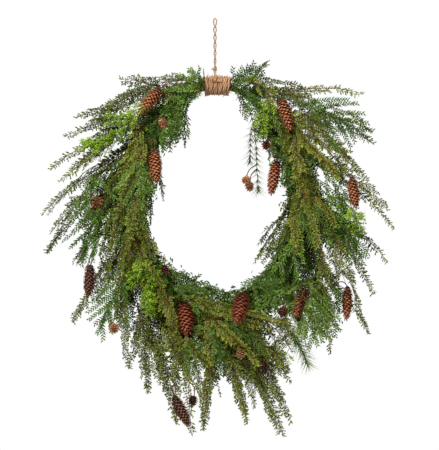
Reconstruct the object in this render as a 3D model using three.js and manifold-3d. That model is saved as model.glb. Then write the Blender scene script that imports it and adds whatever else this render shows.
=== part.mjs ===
// Fresh evergreen wreath on an oval vine hoop, hanging from a twisted twine loop.
// Millimetres, +X to the right, +Z up and the viewer at -Y. The wall is behind, at +Y.
// The origin is the inside top of the hanging loop, which carries the wreath.

import * as THREE from "three";
import { mergeVertices } from "three/addons/utils/BufferGeometryUtils.js";
import loadManifold from "manifold-3d";

// Hoop: an oval rod of vine, six-sided, with one of its flats to the front.
const HOOP_CENTRE = new THREE.Vector3(5, 0, -380);
const HOOP_HALF_WIDTH = 168;
const HOOP_HALF_HEIGHT = 236;
const HOOP_THICKNESS = 14;
const HOOP_SIDES = 6;
const HOOP_STEPS = 52;

// Binding wire: one long helix that passes over the stems lying on the hoop.
const WIRE_THICKNESS = 1.8;
const WIRE_TURNS = 17;
const WIRE_STEPS_PER_TURN = 6;
const WIRE_RADIUS = 14;
const WIRE_END_SHARE = 0.12;
const WIRE_SIDES = 3;

// Twine wrap round the top of the hoop.
const WRAP_LENGTH = 58;
const WRAP_HEIGHT = 45;
const WRAP_TURNS = 11;
const WRAP_SIDES = 10;
const WRAP_GROOVE = 1.3;
const WRAP_SLANT = 1.2;
const WRAP_END_DROP = 2.2;
const WRAP_BORE_STEPS = [1, 0.5, 0, -0.5, -1];

// Hanger: one length of twine doubled and twisted, with an eye above and a knot below.
const TWINE_THICKNESS = 3;
const EYE_HEIGHT = 16;
const EYE_WIDTH = 6;
const HALF_TWIST = 17;
const KNOT_HEIGHT = -109;
const KNOT_PROFILE = [[5, 1], [4, 1.9], [2, 2.3], [0, 1.7], [-2, 2.3], [-4, 1.9], [-5, 1]];
const STRAND_OUTLINE = [[2, 0], [1, 1], [-1, 1], [-2, 0], [-1, -1], [1, -1]];
const TUCK_ANGLE = 72;
const WRAP_RIDE_START = 6;
const WRAP_RIDE_STEP = 16;
const STEPS_PER_HALF_TWIST = 3;
const EYE_SIDES = 6;
const EYE_STEPS = 12;
const EYE_OUTLINE = [[-0.31, -1.12], [-1, -0.62], [-0.8, -0.2], [0, 0], [0.8, -0.2], [1, -0.62], [0.31, -1.12]];
const TAIL_SIDES = 5;
const TAIL_STEPS = 3;
const TAIL_SPOTS = [[1, 0, 0], [-4, -2, 0], [-8, -3, -2], [-11, -3, -6]];

// Fit between pieces that touch, and the room that is kept round stems.
const SEAT_GAP = 0.45;
const STALK_GAP = 0.35;
const LEAF_GAP = 0.35;
const STEM_GAP = 2.2;
const WIRE_GAP = 1.4;
const CONE_GAP = 1.4;
const SLIM = 0.3;
const WRAP_CORE = 0.6;
const HANGER_REACH = 1.4 * TWINE_THICKNESS;
const LIFT_STEP = 3;
const LIFT_SPREAD = 60;
const SHIFT_STEP = 0.012;
const SHIFTS = [0, 1, -1, 2, -2, 3, -3].map((steps) => steps * SHIFT_STEP);
const LIFT_PER_SHIFT = 350;
const BOUND_STRETCHES = 2;

// How shoots bend, fork and carry their leaves, as shares of a length or in degrees.
const BARE_STEP = 22;
const SHOOT_ROLL = 22;
const ROLL_SHARE = 0.4;
const CURVE_REACH = 0.36;
const CURVE_RISE = 1.7;
const CURVE_DROOP = 0.22;
const FIRST_FORK = 0.3;
const NEXT_FORK = 0.12;
const FORK_TRIES = [0, 1, -1, 2, 3];
const FORK_OUTWARD = 0.8;
const FORK_SPREAD = 0.36;
const FORK_LIFT_LEAST = -12;
const FORK_LIFT_MOST = 20;
const LEAF_START = 0.12;
const LEAF_SWING = 20;
const LEAF_TURN = 6;
const LEAF_LEAN_SPREAD = 5;
const LEAF_LENGTHS = [0.85, 1.1];
const TIP_LENGTHS = [0.8, 0.5];
const TIP_LENGTH_LEAST = 5;
const STALK_SHORTEST = 9;
const STALK_OUT = 0.35;
const STALK_IN = 0.4;
const STALK_TRIES = 160;

const LEFT = -1;
const RIGHT = 1;
const VIEWER = new THREE.Vector3(0, -1, 0);
const DOWN = new THREE.Vector3(0, 0, -1);

// Faces of a four-sided stem, counted round its direction of growth.
const BACK_FACE = 0;
const RIGHT_FACE = 1;
const FRONT_FACE = 2;
const LEFT_FACE = 3;
const TWO_RANKS = [RIGHT_FACE, LEFT_FACE];
const ALL_ROUND = [BACK_FACE, RIGHT_FACE, FRONT_FACE, LEFT_FACE];

// Growth of each kind of foliage. bare is the leafless share of a shoot, steps are the distances between
// sections (one that bears leaves is marked), lean is the angle of a leaf to its stem.
const KINDS = {
  cedar: {
    colour: "#5f7335", stem: [1.6, 0.8], bare: 0.14, steps: [[15, true]], leaf: 33, lean: 36,
    faces: TWO_RANKS, fullness: (s) => 0.42 + 0.58 * Math.sin(Math.PI * Math.min(1, 0.18 + 0.82 * s)),
  },
  fir: {
    colour: "#356b36", stem: [1.8, 1.0], bare: 0.18, steps: [[11.5, true]], leaf: 16, lean: 46,
    faces: ALL_ROUND, fullness: (s) => 1 - 0.25 * s,
  },
  pine: {
    colour: "#5d8a63", stem: [1.7, 1.1], bare: 0.74, steps: [[6, true]], leaf: 32, lean: 44,
    faces: ALL_ROUND, fullness: (s) => 1 - 0.15 * s,
  },
  larch: {
    colour: "#6d8f45", stem: [1.3, 0.8], bare: 0.12, steps: [[14, false], [4, true]], leaf: 19, lean: 62,
    faces: ALL_ROUND, fullness: () => 1,
  },
  juniper: {
    colour: "#86c23c", stem: [1.4, 0.9], bare: 0.68, steps: [[7, true]], leaf: 13, lean: 48,
    faces: ALL_ROUND, fullness: (s) => 1.1 - 0.4 * s,
  },
  stalk: { stem: [1.3, 0.9], bare: 1, steps: [[12, false]], leaf: 0, lean: 0, faces: [], fullness: () => 0 },
};

// Boughs in the order they are bound on, from the foot of the hoop upwards:
// name, kind, side, share of the way down the hoop, seat angle round the hoop (0 at its front, 60 outside,
// -60 towards the hole), how far the tip stands forward, then the tips of the shoots as [x, z], the main first.
const BOUGHS = [
  ["cedar_foot_left", "cedar", LEFT, 0.78, 0, 12, [[-50, -895], [-85, -868]]],
  ["cedar_foot_right", "cedar", RIGHT, 0.86, 0, 10, [[145, -895], [165, -868], [185, -668]]],
  ["cedar_foot_middle", "cedar", RIGHT, 0.95, 60, -6, [[70, -870], [-25, -880], [125, -815]]],
  ["cedar_left_tail", "cedar", LEFT, 0.66, 60, 0, [[-145, -805], [-185, -750], [-62, -732]]],
  ["pine_right_foot", "pine", RIGHT, 0.77, 60, 22, [[200, -745], [135, -600]]],
  ["fir_right_low", "fir", RIGHT, 0.66, 60, 14, [[230, -695], [275, -678]]],
  ["fir_left_low", "fir", LEFT, 0.6, 60, 6, [[-250, -675], [-205, -650]]],
  ["fir_foot_left", "fir", LEFT, 0.8, -60, 10, [[20, -590], [-40, -560]]],
  ["fir_foot_right", "fir", RIGHT, 0.76, -60, 22, [[60, -585], [25, -650]]],
  ["pine_foot", "pine", LEFT, 0.9, 0, 44, [[52, -675], [100, -700]]],
  ["cedar_foot_front", "cedar", LEFT, 0.85, 0, 56, [[90, -742], [-10, -730], [105, -662]]],
  ["cedar_right_fall", "cedar", RIGHT, 0.56, 60, 4, [[330, -675], [250, -715]]],
  ["cedar_left_skirt", "cedar", LEFT, 0.52, 60, -10, [[-305, -650], [-255, -600]]],
  ["juniper_left_low", "juniper", LEFT, 0.58, 0, 44, [[-140, -640], [-180, -570], [-135, -545]]],
  ["cedar_left_hanging", "cedar", LEFT, 0.48, 0, 34, [[-185, -545], [-100, -525], [-150, -590]]],
  ["fir_right_inner_low", "fir", RIGHT, 0.5, -60, 12, [[82, -535], [95, -485]]],
  ["cedar_right_low", "cedar", RIGHT, 0.44, 60, -8, [[372, -520], [345, -590]]],
  ["fir_right_outer", "fir", RIGHT, 0.4, 60, 24, [[318, -525], [275, -500]]],
  ["pine_right", "pine", RIGHT, 0.44, 0, 48, [[210, -475], [200, -425]]],
  ["fir_left_outer", "fir", LEFT, 0.4, 60, 22, [[-282, -548], [-240, -535]]],
  ["cedar_right_hanging", "cedar", RIGHT, 0.36, 0, 54, [[220, -485], [255, -440], [180, -500]]],
  ["juniper_right_low", "juniper", RIGHT, 0.36, 60, 34, [[315, -475], [305, -425]]],
  ["cedar_left_low", "cedar", LEFT, 0.34, 60, 0, [[-362, -500], [-290, -445]]],
  ["fir_left_inner", "fir", LEFT, 0.3, -60, 12, [[-140, -452], [-112, -388]]],
  ["cedar_left_mid", "cedar", LEFT, 0.28, 60, 26, [[-370, -420], [-260, -475]]],
  ["cedar_right_outer", "cedar", RIGHT, 0.28, 60, 8, [[385, -448], [330, -370]]],
  ["fir_right_inner", "fir", RIGHT, 0.2, -60, 10, [[165, -365], [128, -300]]],
  ["cedar_left_front", "cedar", LEFT, 0.24, 0, 60, [[-210, -425], [-150, -375], [-180, -470]]],
  ["cedar_right_front", "cedar", RIGHT, 0.2, 0, 60, [[262, -340], [200, -370], [172, -330]]],
  ["cedar_right_mid", "cedar", RIGHT, 0.2, 60, 22, [[335, -265], [335, -240], [225, -265]]],
  ["juniper_left_high", "juniper", LEFT, 0.2, 0, 40, [[-265, -285], [-225, -220], [-180, -235]]],
  ["fir_left_inner_high", "fir", LEFT, 0.12, -60, 8, [[-65, -275], [-60, -240]]],
  ["cedar_left_shoulder", "cedar", LEFT, 0.165, 60, 14, [[-350, -320], [-318, -250]]],
  ["larch_right", "larch", RIGHT, 0.1, -60, 14, [[95, -378], [75, -310]]],
  ["cedar_right_reach", "cedar", RIGHT, 0.1, 60, 12, [[315, -160], [225, -200]]],
  ["cedar_left_top", "cedar", LEFT, 0.1, 60, 8, [[-230, -180], [-190, -130]]],
  ["fir_right_top", "fir", RIGHT, 0.085, 0, 16, [[115, -92], [120, -185]]],
  ["fir_left_top", "fir", LEFT, 0.09, 0, 26, [[-130, -165], [-85, -205]]],
];

// Cones: name, base and tip as [x, z], thickness, and how far the tip nods to the viewer.
const CONES = [
  ["cone_left_top", [-118, -153], [-160, -205], 27, 6],
  ["cone_left_inner", [-129, -283], [-125, -349], 28, 4],
  ["cone_right_top", [142, -173], [161, -239], 27, 4],
  ["cone_right_inner", [133, -307], [121, -376], 27, 0],
  ["cone_right_outer", [293, -343], [302, -404], 25, 4],
  ["cone_left_outer", [-267, -530], [-273, -594], 25, 0],
  ["cone_left_foot", [-67, -612], [-60, -674], 36, 14],
  ["cone_foot", [61, -590], [48, -646], 34, 24],
  ["cone_right_foot", [192, -582], [173, -638], 28, 20],
  ["cone_right_low", [286, -577], [284, -646], 24, 0],
  ["cone_lowest", [-88, -813], [-58, -873], 26, 4],
  ["bud_left_top", [-113, -217], [-109, -234], 16, 4],
  ["bud_left", [-256, -387], [-253, -405], 17, 4],
  ["bud_right_top", [112, -263], [108, -281], 15, 2],
  ["bud_larch_high", [68, -339], [66, -355], 12, 0],
  ["bud_larch_low", [75, -352], [73, -370], 14, 0],
  ["bud_lowest", [-45, -815], [-49, -831], 14, 2],
  ["bud_right_foot", [148, -622], [147, -640], 17, 4],
];
const CONE_SIDES = 7;
const CONE_ROWS = 8;
const BUD_SIDES = 5;
const BUD_ROWS = 4;
const BUD_LENGTH_MOST = 25;
const CONE_SCALE = 0.12;
const BUD_SCALE = 0.1;
const CONE_BLUNT = 0.75;
const BUD_BLUNT = 0.87;
const CONE_END = 0.16;
const SCALE_DROP = 0.62;
const CONE_TAPER = 0.8;
const CONE_START = -170;

const CONE_COLOUR = "#8a4b2c";
const JUTE_COLOUR = "#b48c60";
const VINE_COLOUR = "#6b4a33";
const WIRE_COLOUR = "#3c5a3a";

const radians = THREE.MathUtils.degToRad;

// A seeded draw, so that the wreath is the same on every run.
let seed = 20;
function draw(low, high) {
  seed = (seed + 0x6d2b79f5) | 0;
  let t = Math.imul(seed ^ (seed >>> 15), 1 | seed);
  t = (t + Math.imul(t ^ (t >>> 7), 61 | t)) ^ t;
  return low + (high - low) * (((t ^ (t >>> 14)) >>> 0) / 4294967296);
}

// A closed body that is grown point by point and face by face.
class Body {
  constructor() {
    this.points = [];
    this.faces = [];
  }

  point(p) {
    this.points.push(p.x, p.y, p.z);
    return this.points.length / 3 - 1;
  }

  quad(a, b, c, d) {
    this.faces.push(a, b, c, a, c, d);
  }

  // A spike stands on a closed round of corners, as a leaf, a needle or a scale does.
  spike(corners, tip) {
    const top = this.point(tip);
    corners.forEach((corner, i) => this.faces.push(corner, corners[(i + 1) % corners.length], top));
  }

  // Joins two rounds of corners with quads.
  band(below, above) {
    below.forEach((corner, i) => {
      const next = (i + 1) % below.length;
      this.quad(corner, below[next], above[next], above[i]);
    });
  }

  geometry() {
    const geometry = new THREE.BufferGeometry();
    geometry.setAttribute("position", new THREE.Float32BufferAttribute(this.points, 3));
    geometry.setIndex(this.faces);
    return geometry;
  }
}

// The room taken up so far, as capsules that taper from one end to the other, in cells for a quick look-up.
class Room {
  constructor() {
    this.cell = 24;
    this.cells = new Map();
  }

  * keys(a, b, reach) {
    const low = a.clone().min(b).subScalar(reach).divideScalar(this.cell).floor();
    const high = a.clone().max(b).addScalar(reach).divideScalar(this.cell).floor();
    for (let x = low.x; x <= high.x; x++) {
      for (let y = low.y; y <= high.y; y++) {
        for (let z = low.z; z <= high.z; z++) yield `${x},${y},${z}`;
      }
    }
  }

  add(a, b, radiusA, radiusB, owner) {
    const capsule = { a, b, radiusA, radiusB, owner };
    for (const key of this.keys(a, b, Math.max(radiusA, radiusB))) {
      if (!this.cells.has(key)) this.cells.set(key, []);
      this.cells.get(key).push(capsule);
    }
  }

  // The smallest clearance that a new capsule would have to what is there, apart from the owners in skip.
  clearance(a, b, radiusA, radiusB, reach, skip) {
    let least = reach;
    const seen = new Set();
    for (const key of this.keys(a, b, Math.max(radiusA, radiusB) + reach)) {
      for (const other of this.cells.get(key) ?? []) {
        if (seen.has(other) || skip.includes(other.owner)) continue;
        seen.add(other);
        const near = nearest(a, b, other.a, other.b);
        const own = THREE.MathUtils.lerp(radiusA, radiusB, near.s);
        const theirs = THREE.MathUtils.lerp(other.radiusA, other.radiusB, near.t);
        least = Math.min(least, near.distance - own - theirs);
      }
    }
    return least;
  }
}

// The nearest points of two straight stretches, as shares s and t along them.
function nearest(a, b, c, d) {
  const first = b.clone().sub(a);
  const second = d.clone().sub(c);
  const between = a.clone().sub(c);
  const lengthA = first.lengthSq();
  const lengthB = second.lengthSq();
  const slope = first.dot(second);
  const alongA = first.dot(between);
  const alongB = second.dot(between);
  const spread = lengthA * lengthB - slope * slope;
  let s = spread > 1e-9 ? THREE.MathUtils.clamp((slope * alongB - alongA * lengthB) / spread, 0, 1) : 0;
  let t = (slope * s + alongB) / lengthB;
  if (t < 0 || t > 1) {
    t = THREE.MathUtils.clamp(t, 0, 1);
    s = THREE.MathUtils.clamp((slope * t - alongA) / lengthA, 0, 1);
  }
  const distance = between.addScaledVector(first, s).addScaledVector(second, -t).length();
  return { s, t, distance };
}

// Hoop

function hoopPoint(side, share) {
  const angle = Math.PI * share;
  const x = side * HOOP_HALF_WIDTH * Math.sin(angle);
  return new THREE.Vector3(x, 0, HOOP_HALF_HEIGHT * Math.cos(angle)).add(HOOP_CENTRE);
}

// Unit vectors at a point of the hoop: along it towards the foot, and out of the hole.
function hoopDirections(side, share) {
  const angle = Math.PI * share;
  const down = new THREE.Vector3(side * HOOP_HALF_WIDTH * Math.cos(angle), 0, -HOOP_HALF_HEIGHT * Math.sin(angle));
  down.normalize();
  const out = new THREE.Vector3(-side * down.z, 0, side * down.x);
  return { down, out };
}

function makeHoop() {
  const body = new Body();
  const radius = HOOP_THICKNESS / 2 / Math.cos(Math.PI / HOOP_SIDES);
  const rounds = [];
  for (let i = 0; i < HOOP_STEPS; i++) {
    const share = (2 * i) / HOOP_STEPS;
    const centre = hoopPoint(RIGHT, share);
    const { out } = hoopDirections(RIGHT, share);
    rounds.push(Array.from({ length: HOOP_SIDES }, (_, k) => {
      const angle = ((k + 0.5) * 2 * Math.PI) / HOOP_SIDES;
      const spot = centre.clone().addScaledVector(VIEWER, radius * Math.cos(angle));
      return body.point(spot.addScaledVector(out, -radius * Math.sin(angle)));
    }));
  }
  rounds.forEach((round, i) => body.band(round, rounds[(i + 1) % rounds.length]));
  return body.geometry();
}

// The way of the wire, with its two ends drawn in to the hoop.
class WireHelix extends THREE.Curve {
  getPoint(t) {
    const steps = t * WIRE_TURNS * WIRE_STEPS_PER_TURN;
    const share = THREE.MathUtils.lerp(WIRE_END_SHARE, 2 - WIRE_END_SHARE, t);
    const angle = (steps * 2 * Math.PI) / WIRE_STEPS_PER_TURN;
    const fromEnd = Math.min(t, 1 - t) * WIRE_TURNS;
    const corner = HOOP_THICKNESS / 2 / Math.cos(Math.PI / HOOP_SIDES);
    const seated = (corner + WIRE_THICKNESS / 2 + SEAT_GAP) / Math.cos(Math.PI / WIRE_STEPS_PER_TURN);
    const radius = THREE.MathUtils.lerp(seated, WIRE_RADIUS, THREE.MathUtils.clamp(2 * fromEnd - 1, 0, 1));
    const { out } = hoopDirections(RIGHT, share);
    const spot = hoopPoint(RIGHT, share).addScaledVector(out, radius * Math.cos(angle));
    return spot.addScaledVector(VIEWER, radius * Math.sin(angle));
  }

  getPointAt(t) {
    return this.getPoint(t);
  }
}

// A rod of regular section along a curve, closed at both ends.
function makeRod(curve, radius, sides, steps) {
  const corners = Array.from({ length: sides }, (_, k) => {
    const angle = (k * 2 * Math.PI) / sides;
    return new THREE.Vector2(radius * Math.cos(angle), radius * Math.sin(angle));
  });
  return new THREE.ExtrudeGeometry(new THREE.Shape(corners), { steps, extrudePath: curve, bevelEnabled: false });
}

// Wrap: a thick sleeve of twine turns round the top of the hoop, following its arch.

const WRAP_SHARE = WRAP_LENGTH / 2 / (Math.PI * HOOP_HALF_WIDTH);

function wrapRound(body, along, radius, slant) {
  return Array.from({ length: WRAP_SIDES }, (_, k) => {
    const angle = (k * 2 * Math.PI) / WRAP_SIDES;
    const share = WRAP_SHARE * along + (slant * Math.cos(angle)) / (Math.PI * HOOP_HALF_WIDTH);
    const { out } = hoopDirections(RIGHT, share);
    const spot = hoopPoint(RIGHT, share).addScaledVector(out, radius * Math.cos(angle));
    return body.point(spot.addScaledVector(VIEWER, radius * Math.sin(angle)));
  });
}

function wrapRadius(along) {
  return WRAP_HEIGHT / 2 - WRAP_END_DROP * along * along;
}

function makeWrap() {
  const body = new Body();
  const bore = HOOP_THICKNESS / 2 / Math.cos(Math.PI / HOOP_SIDES) + 2 * SEAT_GAP;
  const rounds = [];
  for (let i = 0; i <= 2 * WRAP_TURNS; i++) {
    const along = i / WRAP_TURNS - 1;
    rounds.push(wrapRound(body, along, wrapRadius(along) - (i % 2 === 0 ? WRAP_GROOVE : 0), WRAP_SLANT));
  }
  for (const along of WRAP_BORE_STEPS) {
    rounds.push(wrapRound(body, along, bore / Math.cos(Math.PI / WRAP_SIDES), 0));
  }
  rounds.forEach((round, i) => body.band(round, rounds[(i + 1) % rounds.length]));
  return body.geometry();
}

// Hanger

const wasm = await loadManifold();
wasm.setup();

function solid(geometry) {
  const plain = geometry.clone();
  plain.deleteAttribute("normal");
  plain.deleteAttribute("uv");
  const merged = mergeVertices(plain, 1e-4);
  return new wasm.Manifold(new wasm.Mesh({
    numProp: 3,
    vertProperties: new Float32Array(merged.attributes.position.array),
    triVerts: new Uint32Array(merged.index.array),
  }));
}

function geometryOf(manifold) {
  const mesh = manifold.getMesh();
  const geometry = new THREE.BufferGeometry();
  geometry.setAttribute("position", new THREE.Float32BufferAttribute(mesh.vertProperties, 3));
  geometry.setIndex(Array.from(mesh.triVerts));
  return geometry;
}

// The way of the doubled twine: straight down, a knot of two turns, then over the front of the wrap to its
// tuck. Each place has its swelling, which is 1 away from the knot.
function hangerWay() {
  const way = [];
  const start = 1 - EYE_HEIGHT;
  const straight = start - KNOT_HEIGHT - KNOT_PROFILE[0][0];
  const steps = Math.round((STEPS_PER_HALF_TWIST * straight) / HALF_TWIST);
  for (let i = 0; i < steps; i++) way.push([0, start - (straight * i) / steps, 1]);
  for (const [above, swell] of KNOT_PROFILE) way.push([0, KNOT_HEIGHT + above, swell]);
  const ride = WRAP_HEIGHT / 2 + TWINE_THICKNESS / 2 + STALK_GAP;
  const axis = hoopPoint(RIGHT, 0).z;
  for (let angle = WRAP_RIDE_START; angle <= TUCK_ANGLE; angle += WRAP_RIDE_STEP) {
    way.push([-ride * Math.sin(radians(angle)), axis + ride * Math.cos(radians(angle)), 1]);
  }
  return way.map(([y, z, swell]) => ({ spot: new THREE.Vector3(0, y, z), swell }));
}

// The section of two strands side by side, turned by an angle.
function strandPair(angle, across, along, swell) {
  const strand = TWINE_THICKNESS / 2;
  return STRAND_OUTLINE.map(([u, v]) => {
    const fuller = new THREE.Vector2(u * strand * Math.sqrt(swell), v * strand * swell);
    fuller.rotateAround(new THREE.Vector2(), angle);
    return across.clone().multiplyScalar(fuller.x).addScaledVector(along, fuller.y);
  });
}

function makeTwist() {
  const body = new Body();
  const way = hangerWay();
  const rounds = way.map(({ spot, swell }, i) => {
    const before = way[Math.max(i - 1, 0)].spot;
    const after = way[Math.min(i + 1, way.length - 1)].spot;
    const forward = after.clone().sub(before).normalize();
    const across = new THREE.Vector3(1, 0, 0);
    const along = forward.clone().cross(across);
    const angle = (Math.PI * Math.max(spot.z, KNOT_HEIGHT) - Math.PI * KNOT_HEIGHT) / HALF_TWIST;
    return strandPair(angle, across, along, swell).map((offset) => body.point(offset.add(spot)));
  });
  for (let i = 1; i < rounds.length; i++) body.band(rounds[i - 1], rounds[i]);
  body.spike([...rounds[0]].reverse(), way[0].spot);
  body.spike(rounds.at(-1), way.at(-1).spot);
  return body.geometry();
}

function makeEye() {
  const half = (EYE_WIDTH + TWINE_THICKNESS) / 2;
  const curve = new THREE.CatmullRomCurve3(EYE_OUTLINE.map(([across, up]) => {
    return new THREE.Vector3(half * across, 0, TWINE_THICKNESS / 2 + EYE_HEIGHT * up);
  }));
  return makeRod(curve, TWINE_THICKNESS / 2, EYE_SIDES, EYE_STEPS);
}

function makeTail() {
  const curve = new THREE.CatmullRomCurve3(TAIL_SPOTS.map(([x, y, z]) => new THREE.Vector3(x, y, z + KNOT_HEIGHT)));
  return makeRod(curve, TWINE_THICKNESS / 2, TAIL_SIDES, TAIL_STEPS);
}

function makeHanger() {
  return geometryOf(solid(makeTwist()).add(solid(makeEye())).add(solid(makeTail())));
}

// Shoots: four-sided stems along a curve, with leaves as spikes pulled out of their faces.

function stationsAlong(length, kind) {
  const bareLength = length * kind.bare;
  const bareSteps = Math.max(1, Math.round(bareLength / BARE_STEP));
  const stations = [{ at: 0, leafy: false }];
  for (let i = 1; i <= bareSteps; i++) stations.push({ at: (bareLength * i) / bareSteps, leafy: false });
  const cycle = kind.steps.reduce((sum, [step]) => sum + step, 0);
  const cycles = Math.max(kind.bare < 1 ? 1 : 0, Math.round((length - bareLength) / cycle));
  const stretch = cycles > 0 ? (length - bareLength) / (cycles * cycle) : 1;
  for (let i = 0; i < cycles; i++) {
    for (const [step, leafy] of kind.steps) stations.push({ at: stations.at(-1).at + step * stretch, leafy });
  }
  return stations;
}

function makeShoot(kind, curve, firstFront, face, rootReach, owner) {
  const length = curve.getLength();
  const roll = draw(-SHOOT_ROLL, SHOOT_ROLL);
  const stations = stationsAlong(length, kind).map(({ at, leafy }) => {
    const share = Math.min(1, at / length);
    const spot = curve.getPointAt(share);
    const forward = curve.getTangentAt(share);
    const facing = VIEWER.clone().applyAxisAngle(forward, radians(roll));
    const front = firstFront.clone().lerp(facing, THREE.MathUtils.smoothstep(share, 0, ROLL_SHARE));
    front.addScaledVector(forward, -front.dot(forward)).normalize();
    const side = front.clone().cross(forward);
    return { spot, forward, front, side, half: THREE.MathUtils.lerp(...kind.stem, share), share, leafy };
  });
  return { kind, stations, face, rootReach, owner, segment: 0, children: [], leaves: [], tip: null };
}

// Half the thickness of a stem at one of its stations, measured to its corners. A fork starts as wide as the
// face that it grows out of.
function reachAt(shoot, i) {
  return i === 0 ? shoot.rootReach : shoot.stations[i].half * Math.SQRT2;
}

// Whether a shoot keeps a gap to all stems, and a smaller one to the wire, which binds its first two stretches
// closely. The pieces in skipNearRoot don't count for those two.
function stemFits(room, shoot, gap, skipNearRoot) {
  for (let i = 1; i < shoot.stations.length; i++) {
    const ends = [shoot.stations[i - 1].spot, shoot.stations[i].spot, reachAt(shoot, i - 1), reachAt(shoot, i)];
    const isBound = i <= BOUND_STRETCHES;
    const ignored = isBound ? skipNearRoot : [];
    const wireGap = isBound ? LEAF_GAP : WIRE_GAP;
    if (room.clearance(...ends, wireGap + 1, ignored) < wireGap) return false;
    if (room.clearance(...ends, gap + 1, [...ignored, "wire"]) < gap) return false;
  }
  return true;
}

function claimStem(room, shoot) {
  for (let i = 1; i < shoot.stations.length; i++) {
    const { spot: before } = shoot.stations[i - 1];
    room.add(before, shoot.stations[i].spot, reachAt(shoot, i - 1), reachAt(shoot, i), shoot);
  }
}

// A curve that leaves its root one way, comes down on its tip and rises to the viewer by lift on the way.
function hangingCurve(root, direction, tip, lift) {
  const end = new THREE.Vector3(tip[0], root.y - lift, tip[1]);
  const reach = root.distanceTo(end);
  const straight = end.clone().sub(root).setY(0).normalize();
  const start = direction.clone().setY(0).normalize().lerp(straight, 0.5).normalize();
  start.y = (-CURVE_RISE * lift) / reach;
  const finish = straight.lerp(DOWN, CURVE_DROOP).normalize();
  const first = root.clone().addScaledVector(start, CURVE_REACH * reach);
  const second = end.clone().addScaledVector(finish, -CURVE_REACH * reach);
  return new THREE.CubicBezierCurve3(root, first, second, end);
}

// Tries one place after another until the shoot is clear of all that is bound on already.
function settleShoot(name, places, make, fits) {
  for (const place of places) {
    const shoot = make(place);
    if (fits(shoot)) return shoot;
  }
  throw new Error(`no room for ${name}`);
}

// Places for a bough: how far its root slides along the hoop and how far its tip stands forward, the nearest
// to the plan first.
function boughPlaces(stand) {
  const places = [];
  for (const shift of SHIFTS) {
    for (const lift of liftsAround(stand)) places.push({ shift, lift });
  }
  const cost = ({ shift, lift }) => Math.abs(lift - stand) + LIFT_PER_SHIFT * Math.abs(shift);
  return places.sort((a, b) => cost(a) - cost(b));
}

function liftsAround(middle) {
  const lifts = [middle];
  for (let away = LIFT_STEP; away <= LIFT_SPREAD; away += LIFT_STEP) lifts.push(middle + away, middle - away);
  return lifts;
}

function boughRoot(side, share, seat, thickness) {
  const { down, out } = hoopDirections(side, share);
  const angle = radians(seat);
  const radial = VIEWER.clone().multiplyScalar(Math.cos(angle)).addScaledVector(out, Math.sin(angle));
  const spot = hoopPoint(side, share).addScaledVector(radial, HOOP_THICKNESS / 2 + thickness + SEAT_GAP);
  return { spot, down, radial };
}

function bindBough(room, [name, kindName, side, share, seat, stand, tips]) {
  const kind = KINDS[kindName];
  const main = settleShoot(name, boughPlaces(stand), ({ shift, lift }) => {
    const { spot, down, radial } = boughRoot(side, share + shift, seat, kind.stem[0]);
    return makeShoot(kind, hangingCurve(spot, down, tips[0], lift), radial, null, kind.stem[0] * Math.SQRT2, name);
  }, (shoot) => stemFits(room, shoot, STEM_GAP, ["hoop"]));
  claimStem(room, main);
  tips.slice(1).forEach((tip, i) => {
    forkShoot(room, main, tip, FIRST_FORK + NEXT_FORK * i, `${name} shoot ${i + 2}`);
  });
  return { name, kindName, main };
}

// The face of a stem that looks towards a point, and the middle of that face in one stretch of the stem.
function faceTowards(shoot, segment, goal) {
  const before = shoot.stations[segment - 1];
  const after = shoot.stations[segment];
  const middle = before.spot.clone().lerp(after.spot, 0.5);
  const face = goal.clone().sub(middle).dot(after.side) > 0 ? RIGHT_FACE : LEFT_FACE;
  const out = after.side.clone().multiplyScalar(face === RIGHT_FACE ? 1 : -1);
  const reach = FORK_SPREAD * before.spot.distanceTo(after.spot);
  return { face, out, reach, start: middle.addScaledVector(out, (before.half + after.half) / 2) };
}

function forkShoot(room, parent, tip, share, name) {
  const wanted = parent.stations.findIndex((station) => station.share >= share);
  const goal = new THREE.Vector3(tip[0], 0, tip[1]);
  for (const segment of FORK_TRIES.map((steps) => wanted + steps)) {
    if (segment < 2 || segment >= parent.stations.length) continue;
    const { face, out, reach, start } = faceTowards(parent, segment, goal);
    if (parent.children.some((child) => child.segment === segment && child.face === face)) continue;
    const at = parent.stations[segment];
    const direction = at.forward.clone().addScaledVector(out, FORK_OUTWARD).normalize();
    const parentLift = at.spot.y - parent.stations.at(-1).spot.y;
    for (const lift of liftsAround(THREE.MathUtils.clamp(parentLift, FORK_LIFT_LEAST, FORK_LIFT_MOST))) {
      const curve = hangingCurve(start, direction, tip, lift);
      const shoot = makeShoot(parent.kind, curve, at.front, face, reach, parent.owner);
      if (!stemFits(room, shoot, STEM_GAP, [parent])) continue;
      shoot.segment = segment;
      parent.children.push(shoot);
      claimStem(room, shoot);
      return;
    }
  }
  throw new Error(`no room for ${name}`);
}

// Leaves grow where there is room for them, one rank after another on every shoot.

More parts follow.
